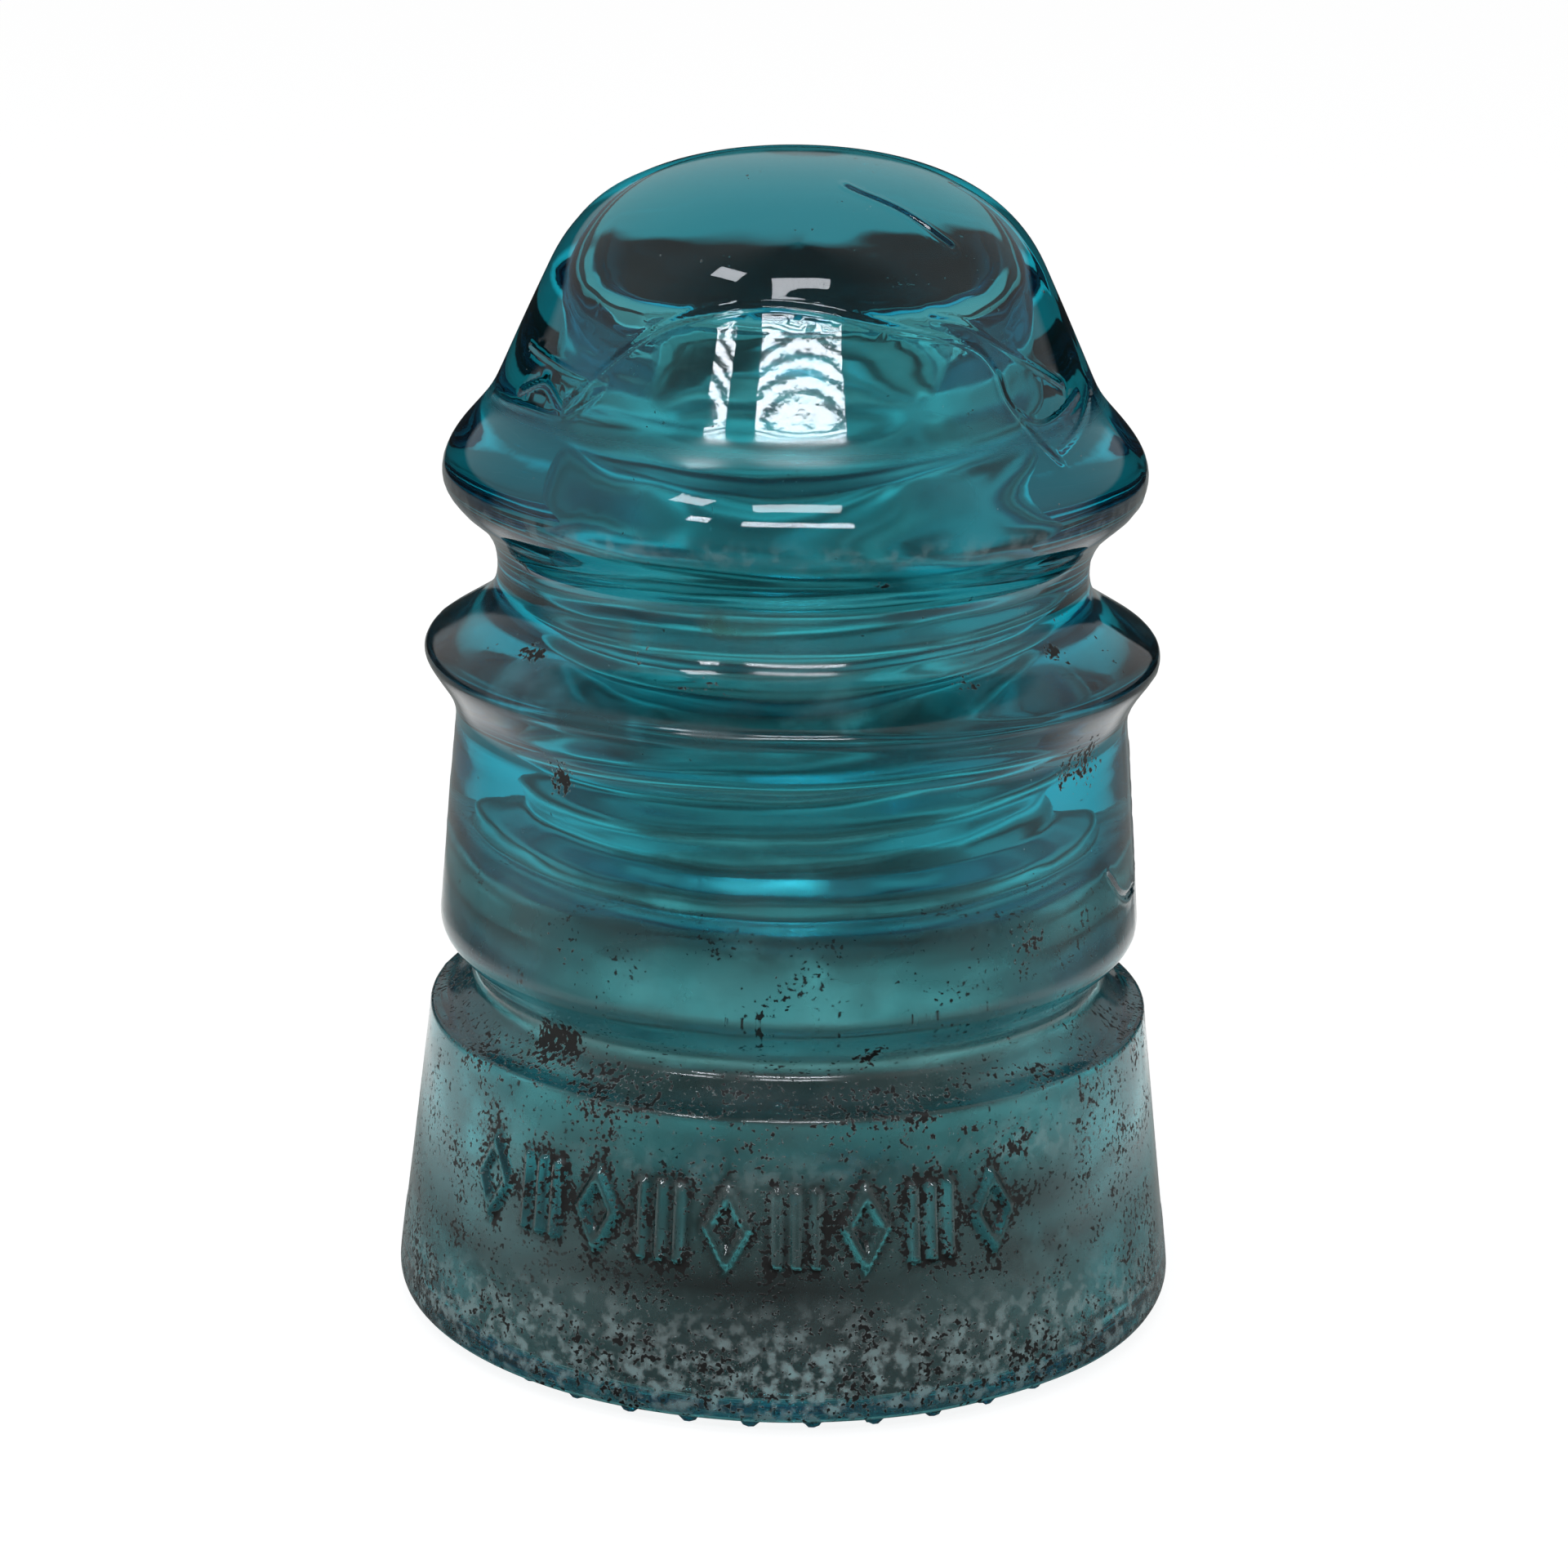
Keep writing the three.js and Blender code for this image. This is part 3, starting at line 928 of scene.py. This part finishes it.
@dataclass(frozen=True)
class AquaPressedGlass:
    """Soda-lime glass tinted aqua by iron, pressed and fire-polished, then weathered outdoors.

    Clear and glossy where rain keeps it clean. The colour is in its depth, so a thin edge is pale
    and the thick crown is deep teal. Dust dulls it, smoke stains darken it, scuffs round the base
    make it frosty, and soot sits on it as dull black grains. Smoke and soot also lay painted shade:
    a dark band low on the skirt, two dark spots by the wire groove and dark outlines round the marks.
    A real grain of soot is finer; it is drawn this coarse so that it shows.
    """

    tint: str = "#f4fffd"
    depth_colour: str = "#50ebf2"
    depth_density: float = 120.0
    ior: float = 1.52
    polish: float = 0.025
    dullest: float = 0.55
    film_colour: str = "#5e6b62"
    film_scatter: float = 0.2
    film_least: float = 0.3
    film_gain: float = 1.3
    rust_colour: str = "#8a7436"
    smoke_and_shade_colour: str = "#14171b"
    frost_colour: str = "#b4dcdc"
    frost_scatter: float = 0.55
    soot_and_shade_colour: str = "#0c0d0c"
    soot_grain: Grain = Grain(0.2, 2)
    soot_clump: Grain = Grain(1.9, 3)
    soot_grain_share: float = 0.6
    soot_amount_share: float = 0.3
    soot_levels: tuple[float, float] = (0.715, 0.745)
    film_cloud: Grain = Grain(2.6, 5, 0.36, 0.64)
    rust_streak: Grain = Grain(1.6, 4, 0.35, 0.65)
    smoke_and_shade_rag: Grain = Grain(3.2, 6, 0.28, 0.47)
    frost_scuff: Grain = Grain(0.55, 6, 0.44, 0.66)
    pit: Grain = Grain(0.5, 2)
    pit_depth: float = 0.02  # mm
    crust_height: float = 0.06  # mm
    skin_roughness: float = 0.2

    def make(self) -> bpy.types.Material:
        """Build the material.

        Returns:
            The glass, with its dirt and its painted shade drawn by the amounts painted on the mesh.
        """
        material = bpy.data.materials.new("aqua_pressed_glass_weathered")
        material.use_nodes = True
        tree = material.node_tree
        tree.nodes.clear()
        amount = {
            kind: add_node(tree, "Attribute", {"attribute_name": kind.value}).outputs["Fac"] for kind in Dirt
        }
        noise, shown = self._grains(tree)
        soot = self._soot(tree, amount[Dirt.SOOT], noise)
        cloud = add_node(
            tree, "Math", {"operation": "MULTIPLY_ADD"}, i_0=shown[self.film_cloud], i_1=self.film_gain,
            i_2=self.film_least,
        ).outputs[0]
        film, rust, smoke, frost = (
            add_node(tree, "Math", {"operation": "MULTIPLY"}, i_0=share, i_1=amount[kind]).outputs[0]
            for share, kind in (
                (cloud, Dirt.FILM), (shown[self.rust_streak], Dirt.RUST), (shown[self.smoke_and_shade_rag], Dirt.SMOKE),
                (shown[self.frost_scuff], Dirt.FROST),
            )
        )
        haze = add_node(tree, "Math", {"operation": "MAXIMUM"}, i_0=film, i_1=rust).outputs[0]
        colour = linear(self.tint)
        for share, layer in (
            (haze, self.film_colour), (rust, self.rust_colour), (smoke, self.smoke_and_shade_colour),
            (frost, self.frost_colour), (soot, self.soot_and_shade_colour),
        ):
            mixed = add_node(tree, "Mix", {"data_type": "RGBA"}, Factor=share, i_6=colour, i_7=linear(layer))
            colour = mixed.outputs[2]
        pits = add_node(
            tree, "Bump", Strength=0.1, Distance=self.pit_depth * MM, Height=noise[self.pit]
        ).outputs["Normal"]
        crust = add_node(
            tree, "Bump", Strength=0.5, Distance=self.crust_height * MM, Height=soot, Normal=pits
        ).outputs["Normal"]
        glass = add_node(
            tree, "BsdfPrincipled", Base_Color=colour, IOR=self.ior, Normal=crust,
            Roughness=self._roughness(tree, haze, soot, frost, amount[Dirt.SKIN]),
            Transmission_Weight=self._clearness(tree, haze, soot, frost),
        )
        depth = add_node(
            tree, "VolumeAbsorption", Color=linear(self.depth_colour), Density=self.depth_density
        )
        add_node(tree, "OutputMaterial", Surface=glass.outputs["BSDF"], Volume=depth.outputs["Volume"])
        return material

    def _grains(self, tree: bpy.types.NodeTree) -> tuple[dict[Grain, bpy.types.NodeSocket], ...]:
        """Draw every noise.

        Args:
            tree: The material's node tree.

        Returns:
            Each noise as it is, and each eased from 0 to 1 between its levels.
        """
        place = add_node(tree, "TexCoord").outputs["Object"]
        noise, shown = {}, {}
        for grain in (
            self.soot_grain, self.soot_clump, self.film_cloud, self.rust_streak, self.smoke_and_shade_rag,
            self.frost_scuff, self.pit,
        ):
            scale = 1 / (2 * grain.size * MM)  # a noise's blob is half a wave across
            noise[grain] = add_node(
                tree, "TexNoise", Vector=place, Scale=scale, Detail=grain.detail
            ).outputs["Fac"]
            shown[grain] = add_node(
                tree, "MapRange", {"interpolation_type": "SMOOTHSTEP"}, Value=noise[grain],
                From_Min=grain.low, From_Max=grain.high,
            ).outputs["Result"]
        return noise, shown

    def _soot(
        self, tree: bpy.types.NodeTree, amount: bpy.types.NodeSocket, noise: dict[Grain, bpy.types.NodeSocket]
    ) -> bpy.types.NodeSocket:
        """Heap grains and clumps up where soot, and the painted shade drawn as soot, is painted, and keep
        what stands above the levels.

        Args:
            tree: The material's node tree.
            amount: The painted amount.
            noise: The noises.

        Returns:
            1 on a grain and 0 off it.
        """
        heap = add_node(
            tree, "Math", {"operation": "MULTIPLY"}, i_0=noise[self.soot_grain], i_1=self.soot_grain_share
        ).outputs[0]
        for layer, share in (
            (noise[self.soot_clump], 1 - self.soot_grain_share), (amount, self.soot_amount_share),
        ):
            heap = add_node(
                tree, "Math", {"operation": "MULTIPLY_ADD"}, i_0=layer, i_1=share, i_2=heap
            ).outputs[0]
        low, high = self.soot_levels
        return add_node(
            tree, "MapRange", {"interpolation_type": "SMOOTHSTEP"}, Value=heap, From_Min=low, From_Max=high
        ).outputs["Result"]

    def _roughness(
        self, tree: bpy.types.NodeTree, haze: bpy.types.NodeSocket, soot: bpy.types.NodeSocket,
        frost: bpy.types.NodeSocket, skin: bpy.types.NodeSocket,
    ) -> bpy.types.NodeSocket:
        """Dull the glass under dirt, and the skin that the cool plunger left.

        Args:
            tree: The material's node tree.
            haze: How thick the film or the rust is.
            soot: 1 on a grain of soot, and on the painted shade drawn as soot.
            frost: How scuffed the glass is.
            skin: 1 on a chilled surface.

        Returns:
            The roughness.
        """
        dull = haze
        for layer in (soot, frost):
            dull = add_node(tree, "Math", {"operation": "MAXIMUM"}, i_0=dull, i_1=layer).outputs[0]
        rough = add_node(tree, "MapRange", Value=dull, To_Min=self.polish, To_Max=self.dullest)
        return add_node(
            tree, "Math", {"operation": "MULTIPLY_ADD"}, i_0=skin, i_1=self.skin_roughness,
            i_2=rough.outputs["Result"],
        ).outputs[0]

    def _clearness(
        self, tree: bpy.types.NodeTree, haze: bpy.types.NodeSocket, soot: bpy.types.NodeSocket,
        frost: bpy.types.NodeSocket,
    ) -> bpy.types.NodeSocket:
        """Let film and frost scatter a little of the light, and soot, with the painted shade drawn as soot,
        stop all of it.

        Args:
            tree: The material's node tree.
            haze: How thick the film or the rust is.
            soot: 1 on a grain of soot, and on the painted shade drawn as soot.
            frost: How scuffed the glass is.

        Returns:
            The share of light that goes through.
        """
        milky = add_node(
            tree, "Math", {"operation": "MULTIPLY"}, i_0=haze, i_1=self.film_scatter
        ).outputs[0]
        milky = add_node(
            tree, "Math", {"operation": "MULTIPLY_ADD"}, i_0=frost, i_1=self.frost_scatter, i_2=milky
        ).outputs[0]
        solid = add_node(tree, "Math", {"operation": "MAXIMUM"}, i_0=milky, i_1=soot).outputs[0]
        return add_node(
            tree, "Math", {"operation": "SUBTRACT", "use_clamp": True}, i_0=1.0, i_1=solid
        ).outputs[0]


# ---------------------------------------------------------------- the glass


@dataclass
class GlassBody:
    """The whole insulator: one closed, fine mesh of pressed glass."""

    sizes: GlassSizes = field(default_factory=GlassSizes)
    columns: int = 220
    widest_row: float = 0.7
    finest_row: float = 0.14
    row_turn: float = 0.16
    weathering: Weathering = field(default_factory=Weathering)
    finish: AquaPressedGlass = field(default_factory=AquaPressedGlass)

    def reliefs(self, folds: ColdFolds) -> list[Relief]:
        """Everything that shapes the surface beyond its outline."""
        return [MouldWaves(), FlankCrown(), MouldSeams(), ScrewThread(), DripPoints(), RaisedMarks(), folds]

    def build(self) -> bpy.types.Object:
        """Make the mesh and its painted amounts.

        Returns:
            The object, not yet dressed.
        """
        outline = Outline(self.sizes.corners())
        rows = outline.rows(self.widest_row, self.finest_row, self.row_turn)
        folds = ColdFolds(outline)
        mesh = self._swept(outline, rows, folds)
        places = self._places(mesh, outline)
        push = sum(relief.push(places, self.sizes) for relief in self.reliefs(folds))
        out, up = outline.facing(places.along)
        radius = np.maximum(places.radius + out * push, 0)
        shaped = Places(places.angle, places.along, radius, places.height + up * push, places.zone)
        mesh.vertices.foreach_set("co", (shaped.xyz * MM).astype(np.float32).ravel())
        for kind, amounts in self.weathering.amounts(places, self.sizes).items():
            layer = mesh.attributes.new(kind.value, "FLOAT", "POINT")
            layer.data.foreach_set("value", amounts.astype(np.float32))
        mesh.attributes.remove(mesh.attributes["along"])
        mesh.polygons.foreach_set("use_smooth", [True] * len(mesh.polygons))
        mesh.update()
        piece = bpy.data.objects.new("pressed_glass_insulator", mesh)
        bpy.context.collection.objects.link(piece)
        return piece

    def _swept(self, outline: Outline, rows: np.ndarray, folds: ColdFolds) -> bpy.types.Mesh:
        """Sweep the outline round the axis, with a finer net over marks, drip points and folds.

        Args:
            outline: The insulator's half section.
            rows: Distances along it for the net's rows.
            folds: The folds' lines.

        Returns:
            A closed mesh in mm, with each vertex's distance along the outline kept on it.
        """
        radius, height = outline.at(rows)
        turns = np.arange(self.columns) * 2 * math.pi / self.columns
        bm = bmesh.new()
        along = bm.verts.layers.float.new("along")
        net = []
        for i in range(1, len(rows) - 1):
            ring = [
                bm.verts.new((radius[i] * math.sin(a), -radius[i] * math.cos(a), height[i])) for a in turns
            ]
            for vert in ring:
                vert[along] = rows[i]
            net.append(ring)
        poles = [bm.verts.new((0, 0, height[i])) for i in (0, -1)]
        poles[0][along], poles[1][along] = rows[0], rows[-1]
        for a in range(self.columns):
            b = (a + 1) % self.columns
            bm.faces.new((poles[0], net[0][a], net[0][b]))
            bm.faces.new((poles[1], net[-1][b], net[-1][a]))
            for upper, lower in zip(net, net[1:]):
                bm.faces.new((upper[a], lower[a], lower[b], upper[b]))
        self._refine(bm, self._over_marks, 2)
        self._refine(bm, self._over_drip_points, 1)
        self._refine(bm, folds.near, 2)
        mesh = bpy.data.meshes.new("pressed_glass_insulator")
        bm.to_mesh(mesh)
        bm.free()
        return mesh

    @staticmethod
    def _refine(bm: bmesh.types.BMesh, wanted: Callable[[Vector], bool], cuts: int) -> None:
        """Split the edges of some faces.

        Args:
            bm: The net.
            wanted: Whether a face with this middle is split.
            cuts: New vertices on each edge.
        """
        edges = {edge for face in bm.faces if wanted(face.calc_center_median()) for edge in face.edges}
        bmesh.ops.subdivide_edges(bm, edges=list(edges), cuts=cuts, use_grid_fill=True)

    def _over_marks(self, middle: Vector) -> bool:
        """Find the band of raised marks.

        Args:
            middle: A face's middle, in mm.

        Returns:
            Whether it lies on the band.
        """
        angle = math.degrees(math.atan2(middle.x, -middle.y))
        marks = RaisedMarks()
        reach = marks.count / 2 * marks.pitch_deg + 1
        skirt = math.hypot(middle.x, middle.y) > self.sizes.neck_radius + 2
        level = abs(middle.z - marks.centre) < marks.tall / 2 + 0.6
        return skirt and level and abs(angle - marks.middle_deg) < reach

    def _over_drip_points(self, middle: Vector) -> bool:
        """Find the ring of drip points.

        Args:
            middle: A face's middle, in mm.

        Returns:
            Whether it lies on the ring.
        """
        drips = DripPoints()
        away = math.hypot(middle.x, middle.y) - (self.sizes.base_radius - drips.inset)
        return middle.z < self.sizes.rim_height + 0.4 and abs(away) < drips.base_radius + 0.2

    @staticmethod
    def _places(mesh: bpy.types.Mesh, outline: Outline) -> Places:
        """Read each vertex's angle and place on the outline back from the mesh.

        Args:
            mesh: The swept mesh.
            outline: The insulator's half section.

        Returns:
            The places, in the order of the vertices.
        """
        count = len(mesh.vertices)
        flat = np.empty(count * 3, np.float32)
        mesh.vertices.foreach_get("co", flat)
        x, y, _ = flat.reshape(-1, 3).T.astype(float)
        along = np.empty(count, np.float32)
        mesh.attributes["along"].data.foreach_get("value", along)
        radius, height = outline.at(along)
        nearest = np.searchsorted(outline.along, along).clip(0, len(outline.zones) - 1)
        return Places(np.arctan2(x, -y), along.astype(float), radius, height, outline.zones[nearest])

    def dress(self, piece: bpy.types.Object) -> None:
        """Give the glass its finish, hang it on the root body, and hide the imported glass part.

        Args:
            piece: The built object.
        """
        piece.data.materials.append(self.finish.make())
        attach(piece, "root")
        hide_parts(NODE)


# ---------------------------------------------------------------- the studio


@dataclass(frozen=True)
class Lamp:
    """A rectangular lamp that faces the insulator, placed by where it stands in its sky.

    turn is in degrees from -Y towards +X, rise is in degrees above the floor, and wide and tall are
    the angles that it fills.
    """

    name: str
    turn: float
    rise: float
    wide: float
    tall: float
    radiance: float
    distance: float = 0.9
    colour: str = "#ffffff"

    def hang(self, target: Vector) -> bpy.types.Object:
        """Hang the lamp.

        Args:
            target: The point that it faces, in metres.

        Returns:
            The lamp.
        """
        azimuth, elevation = math.radians(self.turn), math.radians(self.rise)
        level = math.cos(elevation)
        away = Vector((math.sin(azimuth) * level, -math.cos(azimuth) * level, math.sin(elevation)))
        data = bpy.data.lights.new(self.name, "AREA")
        data.shape = "RECTANGLE"
        data.size = 2 * self.distance * math.tan(math.radians(self.wide / 2))
        data.size_y = 2 * self.distance * math.tan(math.radians(self.tall / 2))
        data.energy = self.radiance * math.pi * data.size * data.size_y
        data.color = linear(self.colour)[:3]
        lamp = bpy.data.objects.new(self.name, data)
        lamp.location = target + away * self.distance
        lamp.rotation_euler = away.to_track_quat("Z", "Y").to_euler()
        bpy.context.collection.objects.link(lamp)
        return lamp


@dataclass(frozen=True)
class Window:
    """A tall window with a blind, ahead and to the left, which the dome mirrors."""

    radiance: float = 25.0
    pane_radiance: float = 10.0
    colour: str = "#f4f8ff"
    left_foot: tuple[float, float] = (-38, -29)
    left_head: tuple[float, float] = (-58, -38)
    right: tuple[float, float] = (-17, 21)
    pane: tuple[float, float] = (54.0, 61.0)
    slats: int = 8
    slat_foot: float = 35.2
    slat_pitch: float = 0.85
    slat_share: float = 0.55

    def build(self, target: Vector) -> None:
        """Hang one lamp for each pane and slat.

        Args:
            target: The point that they face, in metres.
        """
        bands = [(*self.pane, self.left_head, self.pane_radiance)]
        for i in range(self.slats):
            foot = self.slat_foot + i * self.slat_pitch
            bands.append((foot, foot + self.slat_pitch * self.slat_share, self.left_foot, self.radiance))
        for low, high, left_column, radiance in bands:
            for left, right in (left_column, self.right):
                rise = (low + high) / 2
                wide = (right - left) * math.cos(math.radians(rise))
                turn = (left + right) / 2
                lamp = Lamp("window", turn, rise, wide, high - low, radiance, colour=self.colour)
                lamp.hang(target)


@dataclass(frozen=True)
class Studio:
    """A plain pale floor and soft light all round.

    Floor tones are by distance from the axis in mm, and the floor glows in them where the glass sees it: a
    painted shadow under and round the insulator out to 56 mm, then a bright ring from 74 to 104 mm. Room
    tones are by degrees above the floor, as the glass sees them. Straight behind the insulator the far floor
    and the foot of the wall are dark.
    """

    floor_colour: str = "#ffffff"
    floor_glow: float = 0.88
    floor_share: float = 0.25
    # Painted shadow out to 56 mm, then a bright ring from 74 to 104 mm, as glowing tones that only the glass
    # sees.
    floor_shadow_tones: tuple[tuple[float, str], ...] = (
        (0.0, "#2a2c2b"), (26.0, "#4a4d4c"), (36.0, "#8a8d8c"), (56.0, "#a6a9a7"), (74.0, "#fafbfa"),
        (104.0, "#fafbfa"), (130.0, "#bcbfbd"), (600.0, "#c8cbc9"),
    )
    floor_behind_shadow_tones: tuple[tuple[float, str], ...] = (
        (0.0, "#2a2c2b"), (26.0, "#4a4d4c"), (36.0, "#8a8d8c"), (56.0, "#a6a9a7"), (74.0, "#fafbfa"),
        (104.0, "#fafbfa"), (130.0, "#8e918f"), (380.0, "#8e918f"), (460.0, "#202222"), (600.0, "#202222"),
    )
    room_tones: tuple[tuple[float, float], ...] = ((-90, 0.05), (0, 0.6), (14, 0.6), (60, 0.5), (90, 0.6))
    room_behind: tuple[tuple[float, float], ...] = (
        (-90, 0.05), (0, 0.012), (8.5, 0.012), (11, 0.4), (60, 0.45), (90, 0.6),
    )
    behind_deg: tuple[float, float] = (86.0, 66.0)
    ahead_deg: tuple[float, float] = (100.0, 150.0)
    ahead_share: float = 0.36
    floor_radius: float = 6.0
    window: Window = field(default_factory=Window)

    def build(self, target: Vector) -> None:
        """Make the floor, the room and the lamps.

        Args:
            target: The point that the lamps face, in metres.
        """
        self._floor()
        self._room()
        self.window.build(target)

    def _floor(self) -> None:
        """A wide disc at the height that the insulator stands on."""
        bm = bmesh.new()
        bmesh.ops.create_circle(bm, cap_ends=True, segments=96, radius=self.floor_radius)
        mesh = bpy.data.meshes.new("floor")
        bm.to_mesh(mesh)
        bm.free()
        floor = bpy.data.objects.new("floor", mesh)
        floor.location.z = CAD_BOUNDS[0][2]
        bpy.context.collection.objects.link(floor)
        mesh.materials.append(self._paper())

    def _paper(self) -> bpy.types.Material:
        """Matt paper, white to the camera; where the glass looks at it, it glows in rings, with a painted
        shadow under and round the insulator.

        Returns:
            The floor's material.
        """
        material = bpy.data.materials.new("matt_paper")
        material.use_nodes = True
        tree = material.node_tree
        tree.nodes.clear()
        direct = add_node(tree, "LightPath").outputs["Is Camera Ray"]
        white = add_node(tree, "BsdfDiffuse", Color=[c * self.floor_share for c in linear(self.floor_colour)])
        glow = add_node(tree, "Emission", Color=linear(self.floor_colour), Strength=self.floor_glow)
        seen = add_node(tree, "AddShader", i_0=white.outputs[0], i_1=glow.outputs[0])
        place = add_node(tree, "TexCoord").outputs["Object"]
        far = add_node(tree, "VectorMath", {"operation": "LENGTH"}, i_0=place).outputs["Value"]
        widest = self.floor_shadow_tones[-1][0]
        share = add_node(tree, "Math", {"operation": "DIVIDE"}, i_0=far, i_1=widest * MM).outputs[0]
        ramps = [
            [(radius / widest, linear(tone)) for radius, tone in tones]
            for tones in (self.floor_shadow_tones, self.floor_behind_shadow_tones)
        ]
        floor_shadow_rings = [
            add_node(tree, "ValToRGB", {"stops": stops}, Fac=share).outputs["Color"] for stops in ramps
        ]
        tone = add_node(
            tree, "Mix", {"data_type": "RGBA"}, Factor=self._behind(tree, place), i_6=floor_shadow_rings[0], i_7=floor_shadow_rings[1]
        )
        # Painted shadow: the floor glows in its rings for every ray but the camera's.
        painted_floor_shade = add_node(tree, "Emission", Color=tone.outputs[2], Strength=self._ahead(tree, place))
        paper = add_node(tree, "MixShader", Fac=direct, i_1=painted_floor_shade.outputs[0], i_2=seen.outputs[0])
        add_node(tree, "OutputMaterial", Surface=paper.outputs[0])
        material.cycles.emission_sampling = "NONE"
        return material

    @staticmethod
    def _backward(tree: bpy.types.NodeTree, place: bpy.types.NodeSocket) -> bpy.types.NodeSocket:
        """Measure how far round a place is.

        Args:
            tree: The floor's or the room's node tree.
            place: The place, or a direction.

        Returns:
            The cosine of its turn away from straight behind the insulator.
        """
        parts = add_node(tree, "SeparateXYZ", Vector=place)
        level = add_node(tree, "CombineXYZ", X=parts.outputs["X"], Y=parts.outputs["Y"])
        unit = add_node(tree, "VectorMath", {"operation": "NORMALIZE"}, i_0=level.outputs[0])
        return add_node(tree, "SeparateXYZ", Vector=unit.outputs[0]).outputs["Y"]

    def _behind(self, tree: bpy.types.NodeTree, place: bpy.types.NodeSocket) -> bpy.types.NodeSocket:
        """Mark what is behind the insulator.

        Args:
            tree: The floor's or the room's node tree.
            place: The place, or a direction.

        Returns:
            1 straight behind it, easing to 0 towards the sides.
        """
        back = self._backward(tree, place)
        edges = [math.cos(math.radians(turn)) for turn in self.behind_deg]
        return add_node(tree, "MapRange", Value=back, From_Min=edges[0], From_Max=edges[1]).outputs["Result"]

    def _ahead(self, tree: bpy.types.NodeTree, place: bpy.types.NodeSocket) -> bpy.types.NodeSocket:
        """Dim what is in front of the insulator.

        Args:
            tree: The floor's or the room's node tree.
            place: The place, or a direction.

        Returns:
            The light's share, 1 behind and beside it and less in front.
        """
        back = self._backward(tree, place)
        edges = [math.cos(math.radians(turn)) for turn in self.ahead_deg]
        return add_node(
            tree, "MapRange", Value=back, From_Min=edges[1], From_Max=edges[0], To_Min=self.ahead_share
        ).outputs["Result"]

    def _room(self) -> None:
        """A room whose far wall is dark at its foot, and white where the camera looks straight at it."""
        world = bpy.data.worlds.new("room")
        bpy.context.scene.world = world
        world.use_nodes = True
        tree = world.node_tree
        tree.nodes.clear()
        direct = add_node(tree, "LightPath").outputs["Is Camera Ray"]
        ray = add_node(tree, "TexCoord").outputs["Generated"]
        sine = add_node(tree, "SeparateXYZ", Vector=ray).outputs["Z"]
        lift = add_node(tree, "Math", {"operation": "ARCSINE"}, i_0=sine).outputs[0]
        share = add_node(tree, "MapRange", Value=lift, From_Min=-math.pi / 2, From_Max=math.pi / 2)
        ramps = [
            [(rise / 180 + 0.5, (tone, tone, tone, 1)) for rise, tone in tones]
            for tones in (self.room_tones, self.room_behind)
        ]
        walls = [
            add_node(tree, "ValToRGB", {"stops": stops}, Fac=share.outputs["Result"]).outputs["Color"]
            for stops in ramps
        ]
        wall = add_node(
            tree, "Mix", {"data_type": "RGBA"}, Factor=self._behind(tree, ray), i_6=walls[0], i_7=walls[1]
        )
        dark = add_node(tree, "Background", Color=wall.outputs[2], Strength=self._ahead(tree, ray))
        white = add_node(tree, "Background", Color=(1, 1, 1, 1), Strength=1.0)
        sky = add_node(tree, "MixShader", Fac=direct, i_1=dark.outputs[0], i_2=white.outputs[0])
        add_node(tree, "OutputWorld", Surface=sky.outputs[0])


@dataclass(frozen=True)
class ProductCamera:
    """A camera a little above the insulator, with a moderately long lens."""

    distance_mm: float = 338.6
    aim_height_mm: float = 41.96
    elevation_deg: float = 16.9
    roll_deg: float = 0.85
    lens_mm: float = 98.4
    sensor_mm: float = 36.0
    shift: float = -0.0042

    def build(self) -> None:
        """Make the camera and hand it to the scene."""
        data = bpy.data.cameras.new("camera")
        data.lens, data.sensor_width, data.shift_x = self.lens_mm, self.sensor_mm, self.shift
        data.clip_start = 0.01
        camera = bpy.data.objects.new("camera", data)
        lift = math.radians(self.elevation_deg)
        away = Vector((0, -math.cos(lift), math.sin(lift)))
        camera.location = Vector((0, 0, self.aim_height_mm * MM)) + away * self.distance_mm * MM
        roll = Matrix.Rotation(math.radians(self.roll_deg), 3, "Z")
        camera.rotation_euler = (away.to_track_quat("Z", "Y").to_matrix() @ roll).to_euler()
        bpy.context.collection.objects.link(camera)
        bpy.context.scene.camera = camera


def main() -> None:
    """Build the camera, the glass and the studio in order."""
    logging.basicConfig(level=logging.INFO, format="%(name)s: %(message)s")
    ProductCamera().build()
    glass = GlassBody()
    piece = glass.build()
    glass.dress(piece)
    log.info("%s: %d vertices, %d faces", piece.name, len(piece.data.vertices), len(piece.data.polygons))
    low, high = (Vector(corner) for corner in CAD_BOUNDS)
    Studio().build((low + high) / 2)
    bpy.context.scene.view_settings.view_transform = "Standard"


if __name__ == "__main__":
    main()
